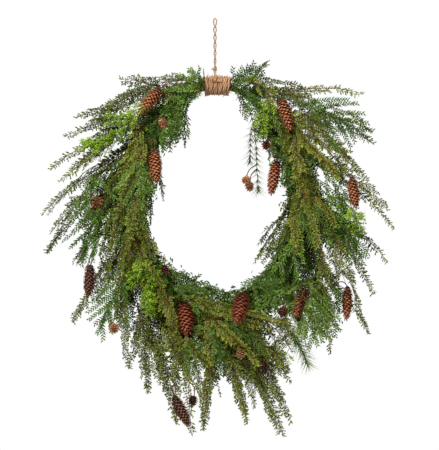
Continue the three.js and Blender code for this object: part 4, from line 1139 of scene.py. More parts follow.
# The hole's edge (x, z) in mm, clockwise from the left end of the wrap.
HOLE_EDGE = np.array([
    (-24, -166), (37, -168), (54, -197), (54, -240), (108, -283), (123, -347), (150, -390), (138, -420),
    (118, -450), (92, -498), (86, -541), (65, -573), (32, -584), (-15, -566), (-75, -538), (-100, -520),
    (-116, -500), (-132, -480), (-142, -459), (-140, -412), (-126, -380), (-112, -347), (-110, -300),
    (-76, -272), (-64, -240), (-70, -205), (-54, -178),
]) * MM

# About how far the hole's edge lies from its middle.
HOLE_REACH = 0.12


def in_hole(spots, margin=6 * MM):
    """Whether a spot, or each of many, lies at least a margin inside the hole's edge, seen from the front."""
    middle = HOOP_CENTRE[[0, 2]]
    grown = 1 + np.asarray(margin)[..., None] / HOLE_REACH
    x, z = (middle + (np.asarray(spots)[..., [0, 2]] - middle) * grown).T
    inside = np.zeros(np.shape(x), bool)
    for (x1, z1), (x2, z2) in zip(HOLE_EDGE, np.roll(HOLE_EDGE, -1, axis=0)):
        inside ^= ((z1 > z) != (z2 > z)) & (x < x1 + (z - z1) * (x2 - x1) / (z2 - z1))
    return inside


def hoop_spot(angle):
    """A place on the hoop's middle line, and the ways out of the hole and clockwise along it."""
    along = unit(np.array([HOOP_HALF_WIDTH * math.cos(angle), 0, -HOOP_HALF_HEIGHT * math.sin(angle)]))
    spot = HOOP_CENTRE + np.array([HOOP_HALF_WIDTH * math.sin(angle), 0, HOOP_HALF_HEIGHT * math.cos(angle)])
    return spot, np.array([-along[2], 0, along[0]]), along


class Lie:
    """Which way the boughs lie round any place, and how far out they reach."""

    def __init__(self, shoots):
        self.middles = np.concatenate([(s["points"][1:] + s["points"][:-1]) / 2 for s in shoots])
        self.ways = np.concatenate([unit(np.diff(s["points"], axis=0)) for s in shoots])
        ends = np.concatenate([s["points"] for s in shoots]) - HOOP_CENTRE
        self.angles = np.arctan2(ends[:, 0], ends[:, 2])
        self.reaches = np.hypot(ends[:, 0], ends[:, 2])

    def way(self, spot, width=38 * MM):
        """The mean way of the stems near a spot, the nearest most."""
        apart = (self.middles - spot) * np.array([1, 0.4, 1])
        weight = np.exp(-(apart ** 2).sum(1) / (2 * width ** 2)) + 1e-9
        return unit((self.ways * weight[:, None]).sum(0))

    def within(self, spot):
        """Whether a spot lies well inside the outline that the boughs give."""
        x, z = spot[0] - HOOP_CENTRE[0], spot[2] - HOOP_CENTRE[2]
        turn = np.abs((self.angles - math.atan2(x, z) + math.pi) % TURN - math.pi)
        near = self.reaches[turn < (0.07 if turn.min() < 0.035 else 0.3)]
        return math.hypot(x, z) < 0.8 * near.max()


def filling_line(lie, start, way, length, forwards):
    """A line from start that bends into the lie of its neighbours. It ends at the hole or the outline."""
    points, step = [start], 9 * MM
    for k in range(int(length / step)):
        follow = min(0.55, 0.12 + 0.08 * k)
        way = unit((1 - follow) * way + follow * lie.way(points[-1]) + 0.05 * DOWN)
        way[1] += 0.06 * (forwards - points[-1][1]) / (20 * MM)
        spot = points[-1] + step * unit(way)
        if in_hole(spot + 8 * MM * way, 20 * MM) or not lie.within(spot):
            break
        points.append(spot)
    return np.array(points)


# Single shoots that fill the wreath: kind, how yellow, depth and the places (x, z) that each passes, in mm.
SINGLE_SHOOTS = [
    ("fir", 0.95, -30, (-24, -141), (-58, -145), (-101, -160)),
    ("fir", 0.8, -26, (-24, -132), (-49, -126), (-80, -130)),
    ("fir", 0.9, -38, (-26, -154), (-54, -169), (-80, -190)),
    ("fir", 0.35, -40, (-32, -145), (-64, -169), (-95, -203)),
    ("fir", 0.8, -34, (-37, -158), (-58, -184), (-73, -212)),
    ("fir", 0.55, -16, (-32, -132), (-45, -119), (-54, -106)),
    ("fir", 0.45, -20, (-45, -137), (-86, -149), (-123, -154)),
    ("cedar", 0.1, -16, (-32, -128), (-86, -124), (-144, -128), (-183, -139)),
    ("cedar", 0.15, -24, (-54, -134), (-118, -139), (-183, -158), (-230, -182)),
    ("cedar", 0.3, -34, (-64, -152), (-140, -169), (-204, -195), (-247, -225)),
    ("cedar", 0.35, -40, (-108, -173), (-183, -203), (-239, -238), (-282, -266)),
    ("cedar", 0.2, -20, (-86, -141), (-161, -149), (-209, -169)),
    ("fir", 0.5, -44, (-101, -192), (-75, -235), (-58, -278)),
    ("fir", 0.4, -36, (-118, -214), (-97, -250), (-82, -285)),
    ("fir", 0.2, -40, (-123, -223), (-140, -272), (-166, -321)),
    ("cedar", 0.8, -62, (-150, -266), (-174, -336), (-204, -403)),
    ("cedar", 0.75, -56, (-157, -235), (-185, -293), (-211, -354)),
    ("fir", 0.6, -68, (-159, -311), (-157, -390), (-161, -461)),
    ("fir", 0.4, -50, (-157, -315), (-133, -352), (-112, -390)),
    ("cedar", 0.75, -52, (-172, -400), (-160, -450), (-140, -510)),
    ("cedar", 0.6, -58, (-189, -364), (-213, -459), (-236, -562)),
    ("cedar", 0.45, -66, (-187, -450), (-200, -519), (-211, -586)),
    ("cedar", 0.05, -30, (-219, -309), (-277, -369), (-329, -444), (-359, -502)),
    ("cedar", 0.1, -22, (-230, -304), (-282, -330), (-333, -386), (-363, -420)),
    ("fir", 0.2, -38, (-221, -386), (-273, -459), (-290, -524)),
    ("cedar", 0.4, -34, (-249, -562), (-277, -605), (-307, -648)),
    ("fir", 0.2, -48, (-189, -554), (-224, -622), (-254, -678)),
    ("cedar", 0.5, -44, (-204, -326), (-239, -390), (-264, -468)),
    ("cedar", 0.4, -50, (-209, -401), (-234, -476), (-249, -551)),
    ("cedar", 0.4, -50, (-200, -616), (-194, -687), (-187, -751)),
    ("cedar", 0.35, -42, (-157, -637), (-148, -730), (-146, -805)),
    ("cedar", 0.65, -76, (-135, -536), (-108, -605), (-84, -670), (-62, -730)),
    ("cedar", 0.3, -30, (-135, -659), (-114, -745), (-84, -872)),
    ("cedar", 0.3, -24, (-101, -773), (-71, -852), (-52, -893)),
    ("cedar", 0.8, -40, (-54, -698), (-30, -799), (-24, -887)),
    ("fir", 0.2, -56, (-64, -676), (-37, -713), (-19, -754)),
    ("fir", 0.35, -40, (-108, -539), (-75, -551), (-45, -564)),
    ("fir", 0.4, -48, (-90, -577), (-43, -584), (4, -592)),
    ("fir", 0.35, -44, (34, -588), (56, -579), (80, -571)),
    ("fir", 0.3, -36, (-6, -590), (24, -592), (54, -588)),
    ("cedar", 0.5, -60, (-54, -605), (0, -614), (54, -633)),
    ("cedar", 1.0, -84, (-2, -644), (43, -689), (90, -736)),
    ("cedar", 0.9, -80, (54, -631), (118, -642), (183, -661)),
    ("cedar", 0.6, -50, (34, -726), (54, -799), (69, -863)),
    ("cedar", 0.4, -40, (75, -704), (103, -799), (138, -893)),
    ("fir", 0.4, -64, (-4, -661), (13, -713), (22, -762)),
    ("cedar", 0.7, -66, (-101, -601), (-80, -665), (-52, -719)),
    ("cedar", 0.5, -62, (84, -665), (116, -717), (163, -782)),
    ("fir", 0.6, -60, (183, -579), (206, -648), (221, -704)),
    ("fir", 0.4, -36, (86, -571), (129, -584), (166, -605)),
    ("fir", 0.2, -14, (39, -143), (75, -117), (112, -96)),
    ("fir", 0.3, -20, (39, -132), (64, -115), (86, -106)),
    ("fir", 0.35, -30, (39, -149), (71, -169), (101, -195)),
    ("fir", 0.25, -34, (45, -143), (101, -156), (155, -173)),
    ("cedar", 0.3, -26, (64, -130), (129, -132), (194, -149)),
    ("cedar", 1.0, -60, (80, -137), (161, -205), (228, -266)),
    ("fir", 0.25, -40, (178, -182), (258, -214), (331, -257)),
    ("cedar", 0.6, -34, (243, -192), (290, -205), (335, -244)),
    ("cedar", 0.4, -32, (146, -162), (190, -168), (232, -184)),
    ("fir", 0.45, -36, (118, -257), (127, -287), (131, -319)),
    ("fir", 0.4, -40, (146, -300), (157, -336), (163, -371)),
    ("cedar", 0.9, -76, (161, -212), (189, -259), (226, -300), (262, -345)),
    ("cedar", 0.5, -46, (236, -270), (295, -343), (329, -373)),
    ("fir", 0.3, -56, (226, -311), (258, -364), (286, -412)),
    ("fir", 0.3, -44, (277, -442), (305, -491), (320, -530)),
    ("cedar", 0.6, -64, (194, -332), (209, -407), (217, -481)),
    ("cedar", 0.25, -50, (204, -386), (153, -450), (105, -502), (80, -545)),
    ("cedar", 0.3, -44, (183, -422), (140, -476), (101, -524)),
    ("cedar", 0.5, -66, (221, -483), (236, -573), (252, -683)),
    ("fir", 0.75, -70, (198, -569), (215, -635), (232, -696)),
    ("cedar", 0.7, -44, (280, -547), (307, -616), (331, -676)),
    ("fir", 0.3, -50, (258, -579), (264, -610), (268, -640)),
    ("cedar", 0.4, -34, (166, -382), (153, -405), (140, -427)),
    ("fir", 0.35, -38, (97, -192), (114, -235), (120, -278)),
    ("fir", 0.25, -42, (75, -162), (101, -212), (114, -257)),
    ("cedar", 0.55, -52, (118, -184), (150, -257), (168, -334)),
    ("cedar", 0.45, -48, (183, -197), (236, -250), (286, -300)),
    ("fir", 0.5, -54, (183, -444), (161, -498), (123, -545)),
    ("fir", 0.35, -46, (221, -390), (254, -459), (273, -524)),
    ("cedar", 0.6, -56, (258, -476), (286, -541), (303, -605)),
    ("cedar", 0.7, -62, (-108, -659), (-84, -723), (-82, -773)),
    ("cedar", 0.4, -44, (-140, -674), (-114, -749), (-92, -820)),
    ("cedar", 0.35, -34, (-161, -659), (-157, -728), (-148, -788)),
    ("cedar", 0.55, -56, (-92, -702), (-54, -756), (-32, -820)),
    ("cedar", 0.5, -48, (-32, -674), (-17, -728), (-11, -799)),
    ("cedar", 0.75, -40, (-11, -734), (-17, -799), (-24, -872)),
    ("cedar", 0.35, -30, (22, -723), (43, -788), (64, -852)),
    ("cedar", 0.45, -44, (54, -723), (75, -799), (86, -837)),
    ("cedar", 0.5, -50, (75, -773), (110, -831), (133, -878)),
    ("cedar", 0.4, -44, (108, -739), (133, -799), (150, -855)),
    ("cedar", 0.3, -30, (-54, -680), (-4, -756), (11, -809)),
    ("fir", 0.25, -52, (-60, -687), (-39, -723), (-17, -743)),
    ("cedar", 0.6, -56, (114, -702), (138, -728), (155, -760)),
    ("cedar", 0.45, -50, (-129, -702), (-101, -745), (-69, -788)),
    ("cedar", 0.6, -64, (-64, -670), (-41, -717), (-2, -760)),
    ("cedar", 0.5, -36, (-204, -584), (-200, -637), (-187, -691)),
    ("fir", 0.15, -24, (-11, -659), (15, -702), (37, -739)),
    ("fir", 0.2, -20, (-97, -648), (-75, -696), (-58, -739)),
    ("fir", 0.2, -20, (64, -659), (88, -702), (101, -734)),
    ("fir", 0.3, -22, (-101, -545), (-49, -564), (6, -579)),
    ("fir", 0.35, -24, (-58, -569), (-6, -586), (54, -590)),
    ("fir", 0.3, -16, (86, -588), (54, -597), (15, -599)),
    ("fir", 0.35, -30, (150, -524), (123, -554), (88, -579)),
    ("fir", 0.3, -30, (-112, -524), (-80, -545), (-39, -562)),
    ("cedar", 0.25, -26, (194, -433), (174, -476), (153, -511)),
    ("cedar", 0.7, -60, (-22, -622), (22, -631), (71, -653)),
    ("cedar", 0.5, -54, (-75, -605), (-32, -618), (22, -644)),
    ("fir", 0.5, -46, (-101, -186), (-84, -205), (-69, -225)),
    ("fir", 0.5, -50, (-114, -214), (-95, -240), (-77, -263)),
    ("fir", 0.65, -24, (-37, -158), (-62, -173), (-86, -192)),
    ("fir", 0.6, -20, (-39, -167), (-60, -184), (-77, -205)),
    ("fir", 0.7, -40, (-41, -149), (-75, -167), (-105, -188)),
    ("fir", 0.5, -30, (-41, -175), (-71, -201), (-88, -231)),
    ("fir", 0.35, -30, (-135, -201), (-140, -235), (-144, -274)),
    ("fir", 0.3, -26, (-118, -192), (-125, -227), (-127, -257)),
    ("cedar", 0.85, -70, (71, -635), (135, -653), (196, -670)),
    ("cedar", 0.6, -60, (101, -644), (140, -680), (166, -717)),
    ("fir", 0.5, -50, (114, -601), (142, -631), (161, -665)),
    ("fir", 0.45, -44, (144, -584), (174, -618), (191, -653)),
    ("cedar", 0.5, -40, (161, -605), (183, -653), (196, -704)),
    ("backing", 0.2, -10, (118, -584), (140, -631), (153, -687)),
    ("backing", 0.2, -10, (150, -579), (174, -627), (183, -674)),
    ("backing", 0.2, -6, (86, -605), (114, -653), (131, -708)),
    ("backing", 0.2, -10, (-204, -562), (-187, -616), (-176, -680)),
    ("backing", 0.2, -8, (-172, -605), (-148, -659), (-135, -717)),
    ("backing", 0.2, -6, (-118, -616), (-101, -670), (-88, -730)),
    ("backing", 0.15, -4, (-64, -627), (-54, -691), (-41, -756)),
    ("backing", 0.15, -4, (-22, -631), (-6, -691), (11, -760)),
    ("backing", 0.15, -4, (28, -631), (54, -691), (75, -751)),
    ("backing", 0.15, -8, (64, -648), (101, -713), (118, -773)),
    ("backing", 0.15, -8, (-140, -691), (-114, -747), (-84, -794)),
    ("backing", 0.2, -10, (183, -455), (209, -524), (221, -594)),
    ("backing", 0.2, -10, (226, -433), (256, -498), (264, -573)),
    ("backing", 0.2, -10, (-226, -390), (-239, -444), (-247, -508)),
    ("cedar", 0.35, -36, (258, -524), (282, -573), (295, -616)),
    ("cedar", 0.3, -44, (221, -573), (239, -616), (247, -653)),
    ("fir", 0.4, -54, (-256, -347), (-269, -401), (-277, -450)),
    ("cedar", 0.2, -40, (-230, -315), (-264, -369), (-290, -420)),
    ("cedar", 0.3, -40, (-178, -171), (-221, -190), (-264, -216)),
    ("cedar", 0.2, -30, (-161, -158), (-200, -175), (-239, -201)),
    ("cedar", 0.6, -44, (-204, -261), (-252, -293), (-299, -321), (-333, -349)),
    ("cedar", 0.45, -36, (-217, -253), (-254, -281), (-290, -309)),
    ("cedar", 0.1, -30, (-226, -401), (-264, -465), (-290, -532)),
    ("cedar", 0.6, -44, (221, -240), (264, -283), (307, -330)),
    ("cedar", 0.7, -40, (258, -274), (295, -309), (331, -347)),
    ("fir", 0.3, -40, (-252, -422), (-273, -476), (-286, -532)),
    ("cedar", 0.5, -34, (-247, -450), (-275, -489), (-297, -524)),
    ("cedar", 0.6, -40, (-209, -188), (-252, -197), (-295, -212)),
    ("cedar", 0.4, -36, (-221, -257), (-264, -287), (-312, -326)),
    ("cedar", 0.1, -14, (45, -154), (56, -182), (67, -210)),
    ("cedar", 0.5, -50, (-140, -691), (-127, -739), (-118, -786)),
    ("fir", 0.55, -40, (-92, -167), (-80, -188), (-75, -214)),
    ("fir", 0.4, -30, (-67, -158), (-73, -184), (-84, -210)),
    ("fir", 0.5, -44, (-110, -201), (-92, -223), (-67, -248)),
    ("cedar", 0.55, -44, (-166, -416), (-153, -468), (-138, -515)),
    ("fir", 0.3, -30, (-112, -218), (-90, -248), (-73, -276)),
    ("fir", 0.35, -34, (-101, -197), (-80, -216), (-58, -235)),
    ("fir", 0.25, -36, (-123, -235), (-105, -261), (-95, -287)),
    ("cedar", 0.7, -36, (316, -352), (342, -377), (370, -410)),
    ("cedar", 0.35, -34, (-282, -382), (-320, -420), (-355, -463)),
    ("fir", 0.4, -40, (-112, -502), (-92, -515), (-71, -532)),
    ("cedar", 0.4, -30, (67, -717), (92, -747), (118, -794)),
    ("juniper", 0.8, -66, (108, -149), (112, -186), (114, -225)),
    ("juniper", 0.7, -60, (108, -171), (101, -212), (97, -248)),
    ("juniper", 0.9, -72, (-140, -192), (-166, -205), (-187, -227)),
    ("juniper", 0.8, -50, (-244, -250), (-262, -266), (-280, -276)),
    ("juniper", 0.85, -70, (-183, -498), (-161, -524), (-150, -545)),
    ("juniper", 0.8, -74, (-172, -573), (-148, -597), (-140, -618)),
    ("juniper", 0.8, -66, (290, -401), (303, -429), (307, -450)),
    ("juniper", 0.7, -50, (161, -702), (155, -717), (148, -734)),
]


def facing_viewer(points, spread):
    """The flat side of a shoot that faces the viewer, give or take a spread."""
    aside = np.array([chance.uniform(-1, 1), 0, chance.uniform(-1, 1)])
    return unit(np.cross(points[-1] - points[0], VIEWER + spread * aside))


def tapered(points, thickest=1.3):
    """The half thickness of a shoot's stem at each of its points."""
    return np.linspace(thickest, 0.5, len(points)) * MM


def single_shoots(shoots):
    """The single shoots. Each grows out of the nearest stem, or out of the hoop."""
    carriers = [smoothed(s["points"], 6 * MM) for s in shoots]
    carriers.append(np.array([hoop_spot(a)[0] for a in np.linspace(0, TURN, 240)]))
    carriers = np.concatenate(carriers)
    made = []
    for kind, tone, depth, *places in SINGLE_SHOOTS:
        drawn = np.array([(x * MM, depth * MM, z * MM) for x, z in places])
        apart = (carriers - drawn[0]) * np.array([1, 0.45, 1])
        root = carriers[(apart ** 2).sum(1).argmin()]
        drawn[1:, 1] += np.linspace(0.1, 1, len(drawn) - 1) * -0.35 * depth * MM
        if np.linalg.norm(root - drawn[0]) > 4 * MM:
            drawn = np.concatenate([[root], drawn])
        line = smoothed(drawn, 6 * MM)
        sway = [[0, chance.uniform(-0.4, 0.4) * MM, chance.uniform(-0.3, 0.3) * MM] for _ in line]
        line += np.cumsum(sway, axis=0)
        made.append({"points": line, "side": facing_viewer(line, 0.35), "half": tapered(line), "kind": kind,
                     "tone": tone})
    return made


# How many filling shoots start along the hoop outwards, at its top, inwards, on the boughs and behind them.
OUTWARD_FILLING, TOP_FILLING, INWARD_FILLING, BOUGH_FILLING = 76, 26, 48, 90
BACKING = 200

# How far, in radians, the filling stays from the foot of the hoop.
FOOT_GAP = 0.19

# The fewest places of a filling shoot that is long enough to keep.
FEWEST_PLACES = 5

# Heights above which the filling is one of the upper or the middle pieces.
UPPER_FROM, MIDDLE_FROM = -0.32, -0.52


def plan_filling(lie, shoots):
    """Kinds, tones and lines of all the filling shoots."""
    planned = single_shoots(shoots)

    def plan(start, way, length, forwards, kind, tone):
        points = filling_line(lie, start, unit(way), length, forwards)
        if len(points) >= FEWEST_PLACES:
            planned.append({"points": points, "side": facing_viewer(points, 0.5), "half": tapered(points),
                            "kind": kind, "tone": tone})

    def plan_along_hoop(count, hand, kinds, depths, spread, lift, lengths, tones):
        """Shoots that fall along the hoop, towards its outside for hand 1 and into the hole for hand -1."""
        for k in range(count):
            angle = TURN * (k + chance.uniform(0.1, 0.9)) / count
            if abs((angle + math.pi) % TURN - math.pi) < FOOT_GAP:
                continue
            spot, out, along = hoop_spot(angle)
            falling = along if angle < math.pi else -along
            kind = kinds[0] if chance.random() < 0.3 else kinds[1]
            forwards = chance.choice(depths) * MM
            start = spot + 6 * MM * unit(VIEWER * (1 if forwards < 0 else -0.6) + hand * out)
            way = falling + hand * chance.uniform(*spread) * out - lift * DOWN
            plan(start, way, chance.uniform(*lengths), forwards, kind, chance.uniform(*tones))

    plan_along_hoop(OUTWARD_FILLING, 1, ("fir", "cedar"), (-52, -42, -34, -26, -18, -10, 0), (0.1, 0.9), 0.2,
                    (0.1, 0.2), (0.05, 0.85))
    for k in range(BACKING):
        spot, out, along = hoop_spot(TURN * (k + chance.uniform(0.1, 0.9)) / BACKING)
        falling = along if spot[0] > HOOP_CENTRE[0] else -along
        high = spot[2] > -0.5
        if k % 3 == 0 and high:
            way = 0.9 * falling - chance.uniform(0.2, 0.5) * out
            length = chance.uniform(0.05, 0.08)
        else:
            way = falling + chance.uniform(0.2, 1.0) * out
            length = chance.uniform(0.1, 0.17 if high else 0.24)
        plan(spot + [0, 5 * MM, 0], way, length, chance.uniform(-14, 6) * MM, "backing", 0.15)
    for shoot in shoots:
        points = smoothed(shoot["points"], 8 * MM)
        points = points[:int(0.72 * len(points))]
        if len(points) > FEWEST_PLACES:
            drift = np.array([chance.uniform(-7, 7), chance.uniform(9, 14), chance.uniform(-6, 6)]) * MM
            points = points + np.linspace(0, 1, len(points))[:, None] ** 0.5 * drift
            planned.append({"points": points, "side": shoot["side"], "half": tapered(points, 1.0),
                            "kind": "backing", "tone": 0.2})
    for k in range(TOP_FILLING):
        hand = 1 if k % 2 == 0 else -1
        spot, out, along = hoop_spot(hand * chance.uniform(0.17, 0.62))
        kind = "fir" if chance.random() < 0.6 else "cedar"
        lift = chance.uniform(-0.35, 0.75)
        plan(spot + 7 * MM * unit(VIEWER + lift * out), hand * along + lift * out, chance.uniform(0.07, 0.13),
             chance.choice((-36, -26, -16)) * MM, kind, chance.uniform(0.1, 0.7))
    plan_along_hoop(INWARD_FILLING, -1, ("cedar", "fir"), (-34, -24, -14, -4), (0.2, 0.7), 0, (0.07, 0.12),
                    (0.1, 0.6))
    for k in range(BOUGH_FILLING):
        shoot = chance.choice(shoots)
        points = smoothed(shoot["points"], 6 * MM)
        if len(points) < 14:
            continue
        i = int(len(points) * chance.uniform(0.08, 0.5))
        turn = chance.choice((-1, 1)) * chance.uniform(0.35, 0.7)
        rest = 6 * MM * (len(points) - i)
        kind = shoot["kind"] if chance.random() < 0.8 else "fir"
        way = directions(points)[i] + turn * shoot["side"] + chance.uniform(-0.3, 0.1) * VIEWER
        plan(points[i], way, rest * chance.uniform(0.55, 0.9), points[i][1] + chance.uniform(-16, 12) * MM, kind,
             chance.uniform(0.1, 0.8))
    return planned


def grow_filling(shoots):
    """Grows the filling, as one piece for each kind, side and height."""
    plain = [s for s in shoots if s["kind"] in ("cedar", "fir")]
    growths = {}
    for shoot in plan_filling(Lie(plain), plain):
        kind, tone = shoot["kind"], shoot["tone"]
        middle = shoot["points"].mean(0)
        side = "left" if middle[0] < HOOP_CENTRE[0] else "right"
        height = "upper" if middle[2] > UPPER_FROM else "middle" if middle[2] > MIDDLE_FROM else "lower"
        growth = growths.setdefault((kind, side, height), Growth(FINISHES[kind], hole_left_open=True))
        # Shoots near the hoop, deep in the wreath, get a lower fresh and so darker leaves: painted shade.
        fresh = np.interp(-middle[1] / MM, [8, 45], [0.5, 1.0])
        if kind == "backing":
            sprayed_cedar(growth, shoot, tone, reach=34 * MM, step=12 * MM, bare=0.0, broad=True)
        elif kind == "cedar":
            sprayed_cedar(growth, shoot, tone, step=12 * MM, bare=0.05, fresh=fresh)
        elif kind == "juniper":
            juniper_sprouts(growth, shoot, tone)
        else:
            fir_twigs(growth, shoot, tone, fresh=fresh)
    for (kind, side, height), growth in sorted(growths.items()):
        growth.piece(f"filling_{kind}_{side}_{height}", SLOTS[kind])


# Cones

# How far the scales stand off the axis at the tip and the foot of a cone, in degrees, and how many there are.
CLOSED_LEAN, CLOSED_SCALES = (30, 62), 105
OPEN_LEAN, LITTLE_OPEN_LEAN, OPEN_SCALES = (50, 88), (50, 85), 34

# How wide a cone is along its length, as shares of its widest.
SWELL_PLACES, SWELL_SHARES = (0, 0.12, 0.4, 0.75, 1), (0.62, 0.92, 1.0, 0.84, 0.4)

# How thick the spindle is, as shares of the cone's half thickness, from foot to tip.
SPINDLE = np.array([0.35, 0.6, 0.66, 0.66, 0.6, 0.55, 0.42, 0.2])

CONE_FINISHES = {"light": LIGHT_CONE, "dark": DARK_CONE, "red": RED_CONE}
CONE_LOOKS = {
    "cone_lowest": "dark", "cone_left_outer": "dark", "bud_lowest": "dark",
    "cone_left_foot": "red", "cone_foot": "red",
    "bud_left_top": "light", "bud_left": "light", "bud_larch_high": "light", "bud_larch_low": "light",
}


def cone(growth, base, tip, thickness, finish, scales, lean, opened=1.0):
    """Woody scales in a golden spiral round a spindle in their dark root colour, a painted shade between the scales.
    """
    axis = tip - base
    length = np.linalg.norm(axis)
    axis = axis / length
    across = unit(np.cross(axis, [0.3, 0.9, 0.1]))
    other = np.cross(axis, across)
    radius = thickness / 2
    matrices, ages, tones = [], [], []
    for i in range(scales):
        share = (i + 0.5) / scales
        turn = i * GOLDEN_TURN
        out = math.cos(turn) * across + math.sin(turn) * other
        swell = np.interp(share, SWELL_PLACES, SWELL_SHARES)
        leans = [lean[1], lean[1] - 12, lean[0] + 6, lean[0] - 14]
        tilt = math.radians(np.interp(share, [0, 0.2, 0.8, 1], leans) + chance.uniform(-4, 4))
        along = math.cos(tilt) * axis + math.sin(tilt) * out
        up = math.cos(tilt) * out - math.sin(tilt) * axis
        long = radius * swell * 0.84 * opened / math.sin(tilt)
        height = length * (0.02 + 0.9 * share) - 0.35 * long * math.cos(tilt)
        root = base + axis * height + out * radius * swell * 0.2
        wide = 0.92 * radius * swell * chance.uniform(0.92, 1.08)
        matrices.append(placing(root, long * along, wide * np.cross(up, along), 0.42 * wide * up))
        ages.append((0.0, chance.uniform(0.9, 1.0)))
        tones.append(chance.random())
    growth.copies(SCALE, matrices, ages, tones, finish)
    # The spindle's low ages give it the scales' dark root colour, a painted shade.
    line = base + np.outer(np.linspace(0.0, 0.94, len(SPINDLE)), axis * length)
    growth.stem(line, radius * SPINDLE, 8, (0.0, 0.2), 0.5, finish)


def grow_cones():
    """The cones that have a solid, and then the little ones that have none, each with its stalk."""
    for node in CONE_NODES:
        finish = CONE_FINISHES.get(CONE_LOOKS.get(node), CONE)
        growth = Growth([finish])
        if node.startswith("cone_"):
            cone(growth, *lie_of(node), finish, CLOSED_SCALES, CLOSED_LEAN)
        else:
            cone(growth, *lie_of(node), finish, OPEN_SCALES, OPEN_LEAN, opened=1.1)
        growth.piece(f"{node}_scales", "cone_scales", node)
    for k, (foot, tip, thickness, look) in enumerate(LITTLE_CONES):
        finish = CONE_FINISHES[look]
        growth = Growth([finish, CEDAR_BARK])
        foot, tip = np.array(foot) * MM, np.array(tip) * MM
        cone(growth, foot, tip, thickness * MM, finish, OPEN_SCALES, LITTLE_OPEN_LEAN, opened=1.1)
        bend = [foot + [0, 34 * MM, 22 * MM], foot + [0, 8 * MM, 12 * MM], foot + 0.1 * (tip - foot)]
        line = smoothed(np.array(bend), 4 * MM)
        growth.stem(line, np.full(len(line), 0.9 * MM), 6, (0, 0.4), 0.5, CEDAR_BARK)
        growth.piece(f"little_cone_{k + 1}", "cone_scales")


# Hoop, wrap and hanger

CANES = 4
CANE_STATIONS = 160

# The wrap: the thickness of its twine, the length of one twist of it, the half of the wrap's length as an angle
# of the hoop, and its loose fibres.
WRAP_STRAND = 5.0 * MM
WRAP_LAY = 34 * MM
WRAP_STATIONS = 40
WRAP_SPAN = WRAP_LENGTH / 2 / HOOP_HALF_WIDTH
LOOSE_FIBRES = 46

# The stitch across the front of the wrap, in mm from its middle.
STITCH = ((-9, 0.5, 6.3), (-7.5, -2.2, 6.3), (-3, -4.4, 5.8), (1, -4.4, 5.3), (4.5, -2.2, 4.8), (6, 0.5, 4.7))

# The eye of the hanger, in mm from the hook, and the short end beside its knot, in mm from the knot.
EYE = ((1.8, -0.9, -13.2), (2.9, -0.2, -9.2), (3.2, 0, -5.0), (2.3, 0, -0.9), (0, 0, 1.0), (-2.3, 0, -0.9),
       (-3.2, 0, -5.0), (-2.9, 0.2, -9.2), (-1.8, 0.9, -13.2))
SHORT_END = ((1, -1.2, 0.4), (-3, -2.6, 0.6), (-5.5, -3.2, 0.2), (-7.5, -3.2, -1.4))


def grow_hoop():
    """Dried canes laid round each other."""
    growth = Growth([VINE_BARK])
    for cane in range(CANES):
        points = []
        for k in range(CANE_STATIONS + 1):
            angle = TURN * k / CANE_STATIONS
            spot, out, _ = hoop_spot(angle)
            turn = 9 * angle + cane * TURN / CANES + 0.25 * math.sin(5 * angle + cane)
            points.append(spot + 3.1 * MM * (math.cos(turn) * out + math.sin(turn) * VIEWER))
        bumps = np.array([3.2 + 0.35 * math.sin(0.9 * k + 2 * cane) for k in range(len(points))]) * MM
        growth.stem(np.array(points), bumps, 7, (0, 1), 0.5, VINE_BARK)
    growth.piece("hoop_canes", "vine", "hoop")


def twine(growth, line, thickness, lay=8 * MM, sides=5):
    """Two plies of jute wound round each other. Age is low in the crease between them, which the jute paints dark as
    shade, and high outside.
    """
    forward = directions(line)
    across = carried(line, ASKEW)
    other = np.cross(forward, across)
    run = length_along(line)
    for ply in (0, math.pi):
        turn = (TURN * run / lay + ply)[:, None]
        path = line + 0.24 * thickness * (np.cos(turn) * across + np.sin(turn) * other)
        corners, triangles = swept(path, np.full(len(path), 0.27 * thickness), sides)
        centre = np.concatenate([np.repeat(line, sides, axis=0), line[:1], line[-1:]])
        off = np.linalg.norm(corners - centre, axis=1) / (0.51 * thickness)
        growth.add(corners, triangles, np.clip((off - 0.4) / 0.5, 0, 1), 0.5, JUTE, True)


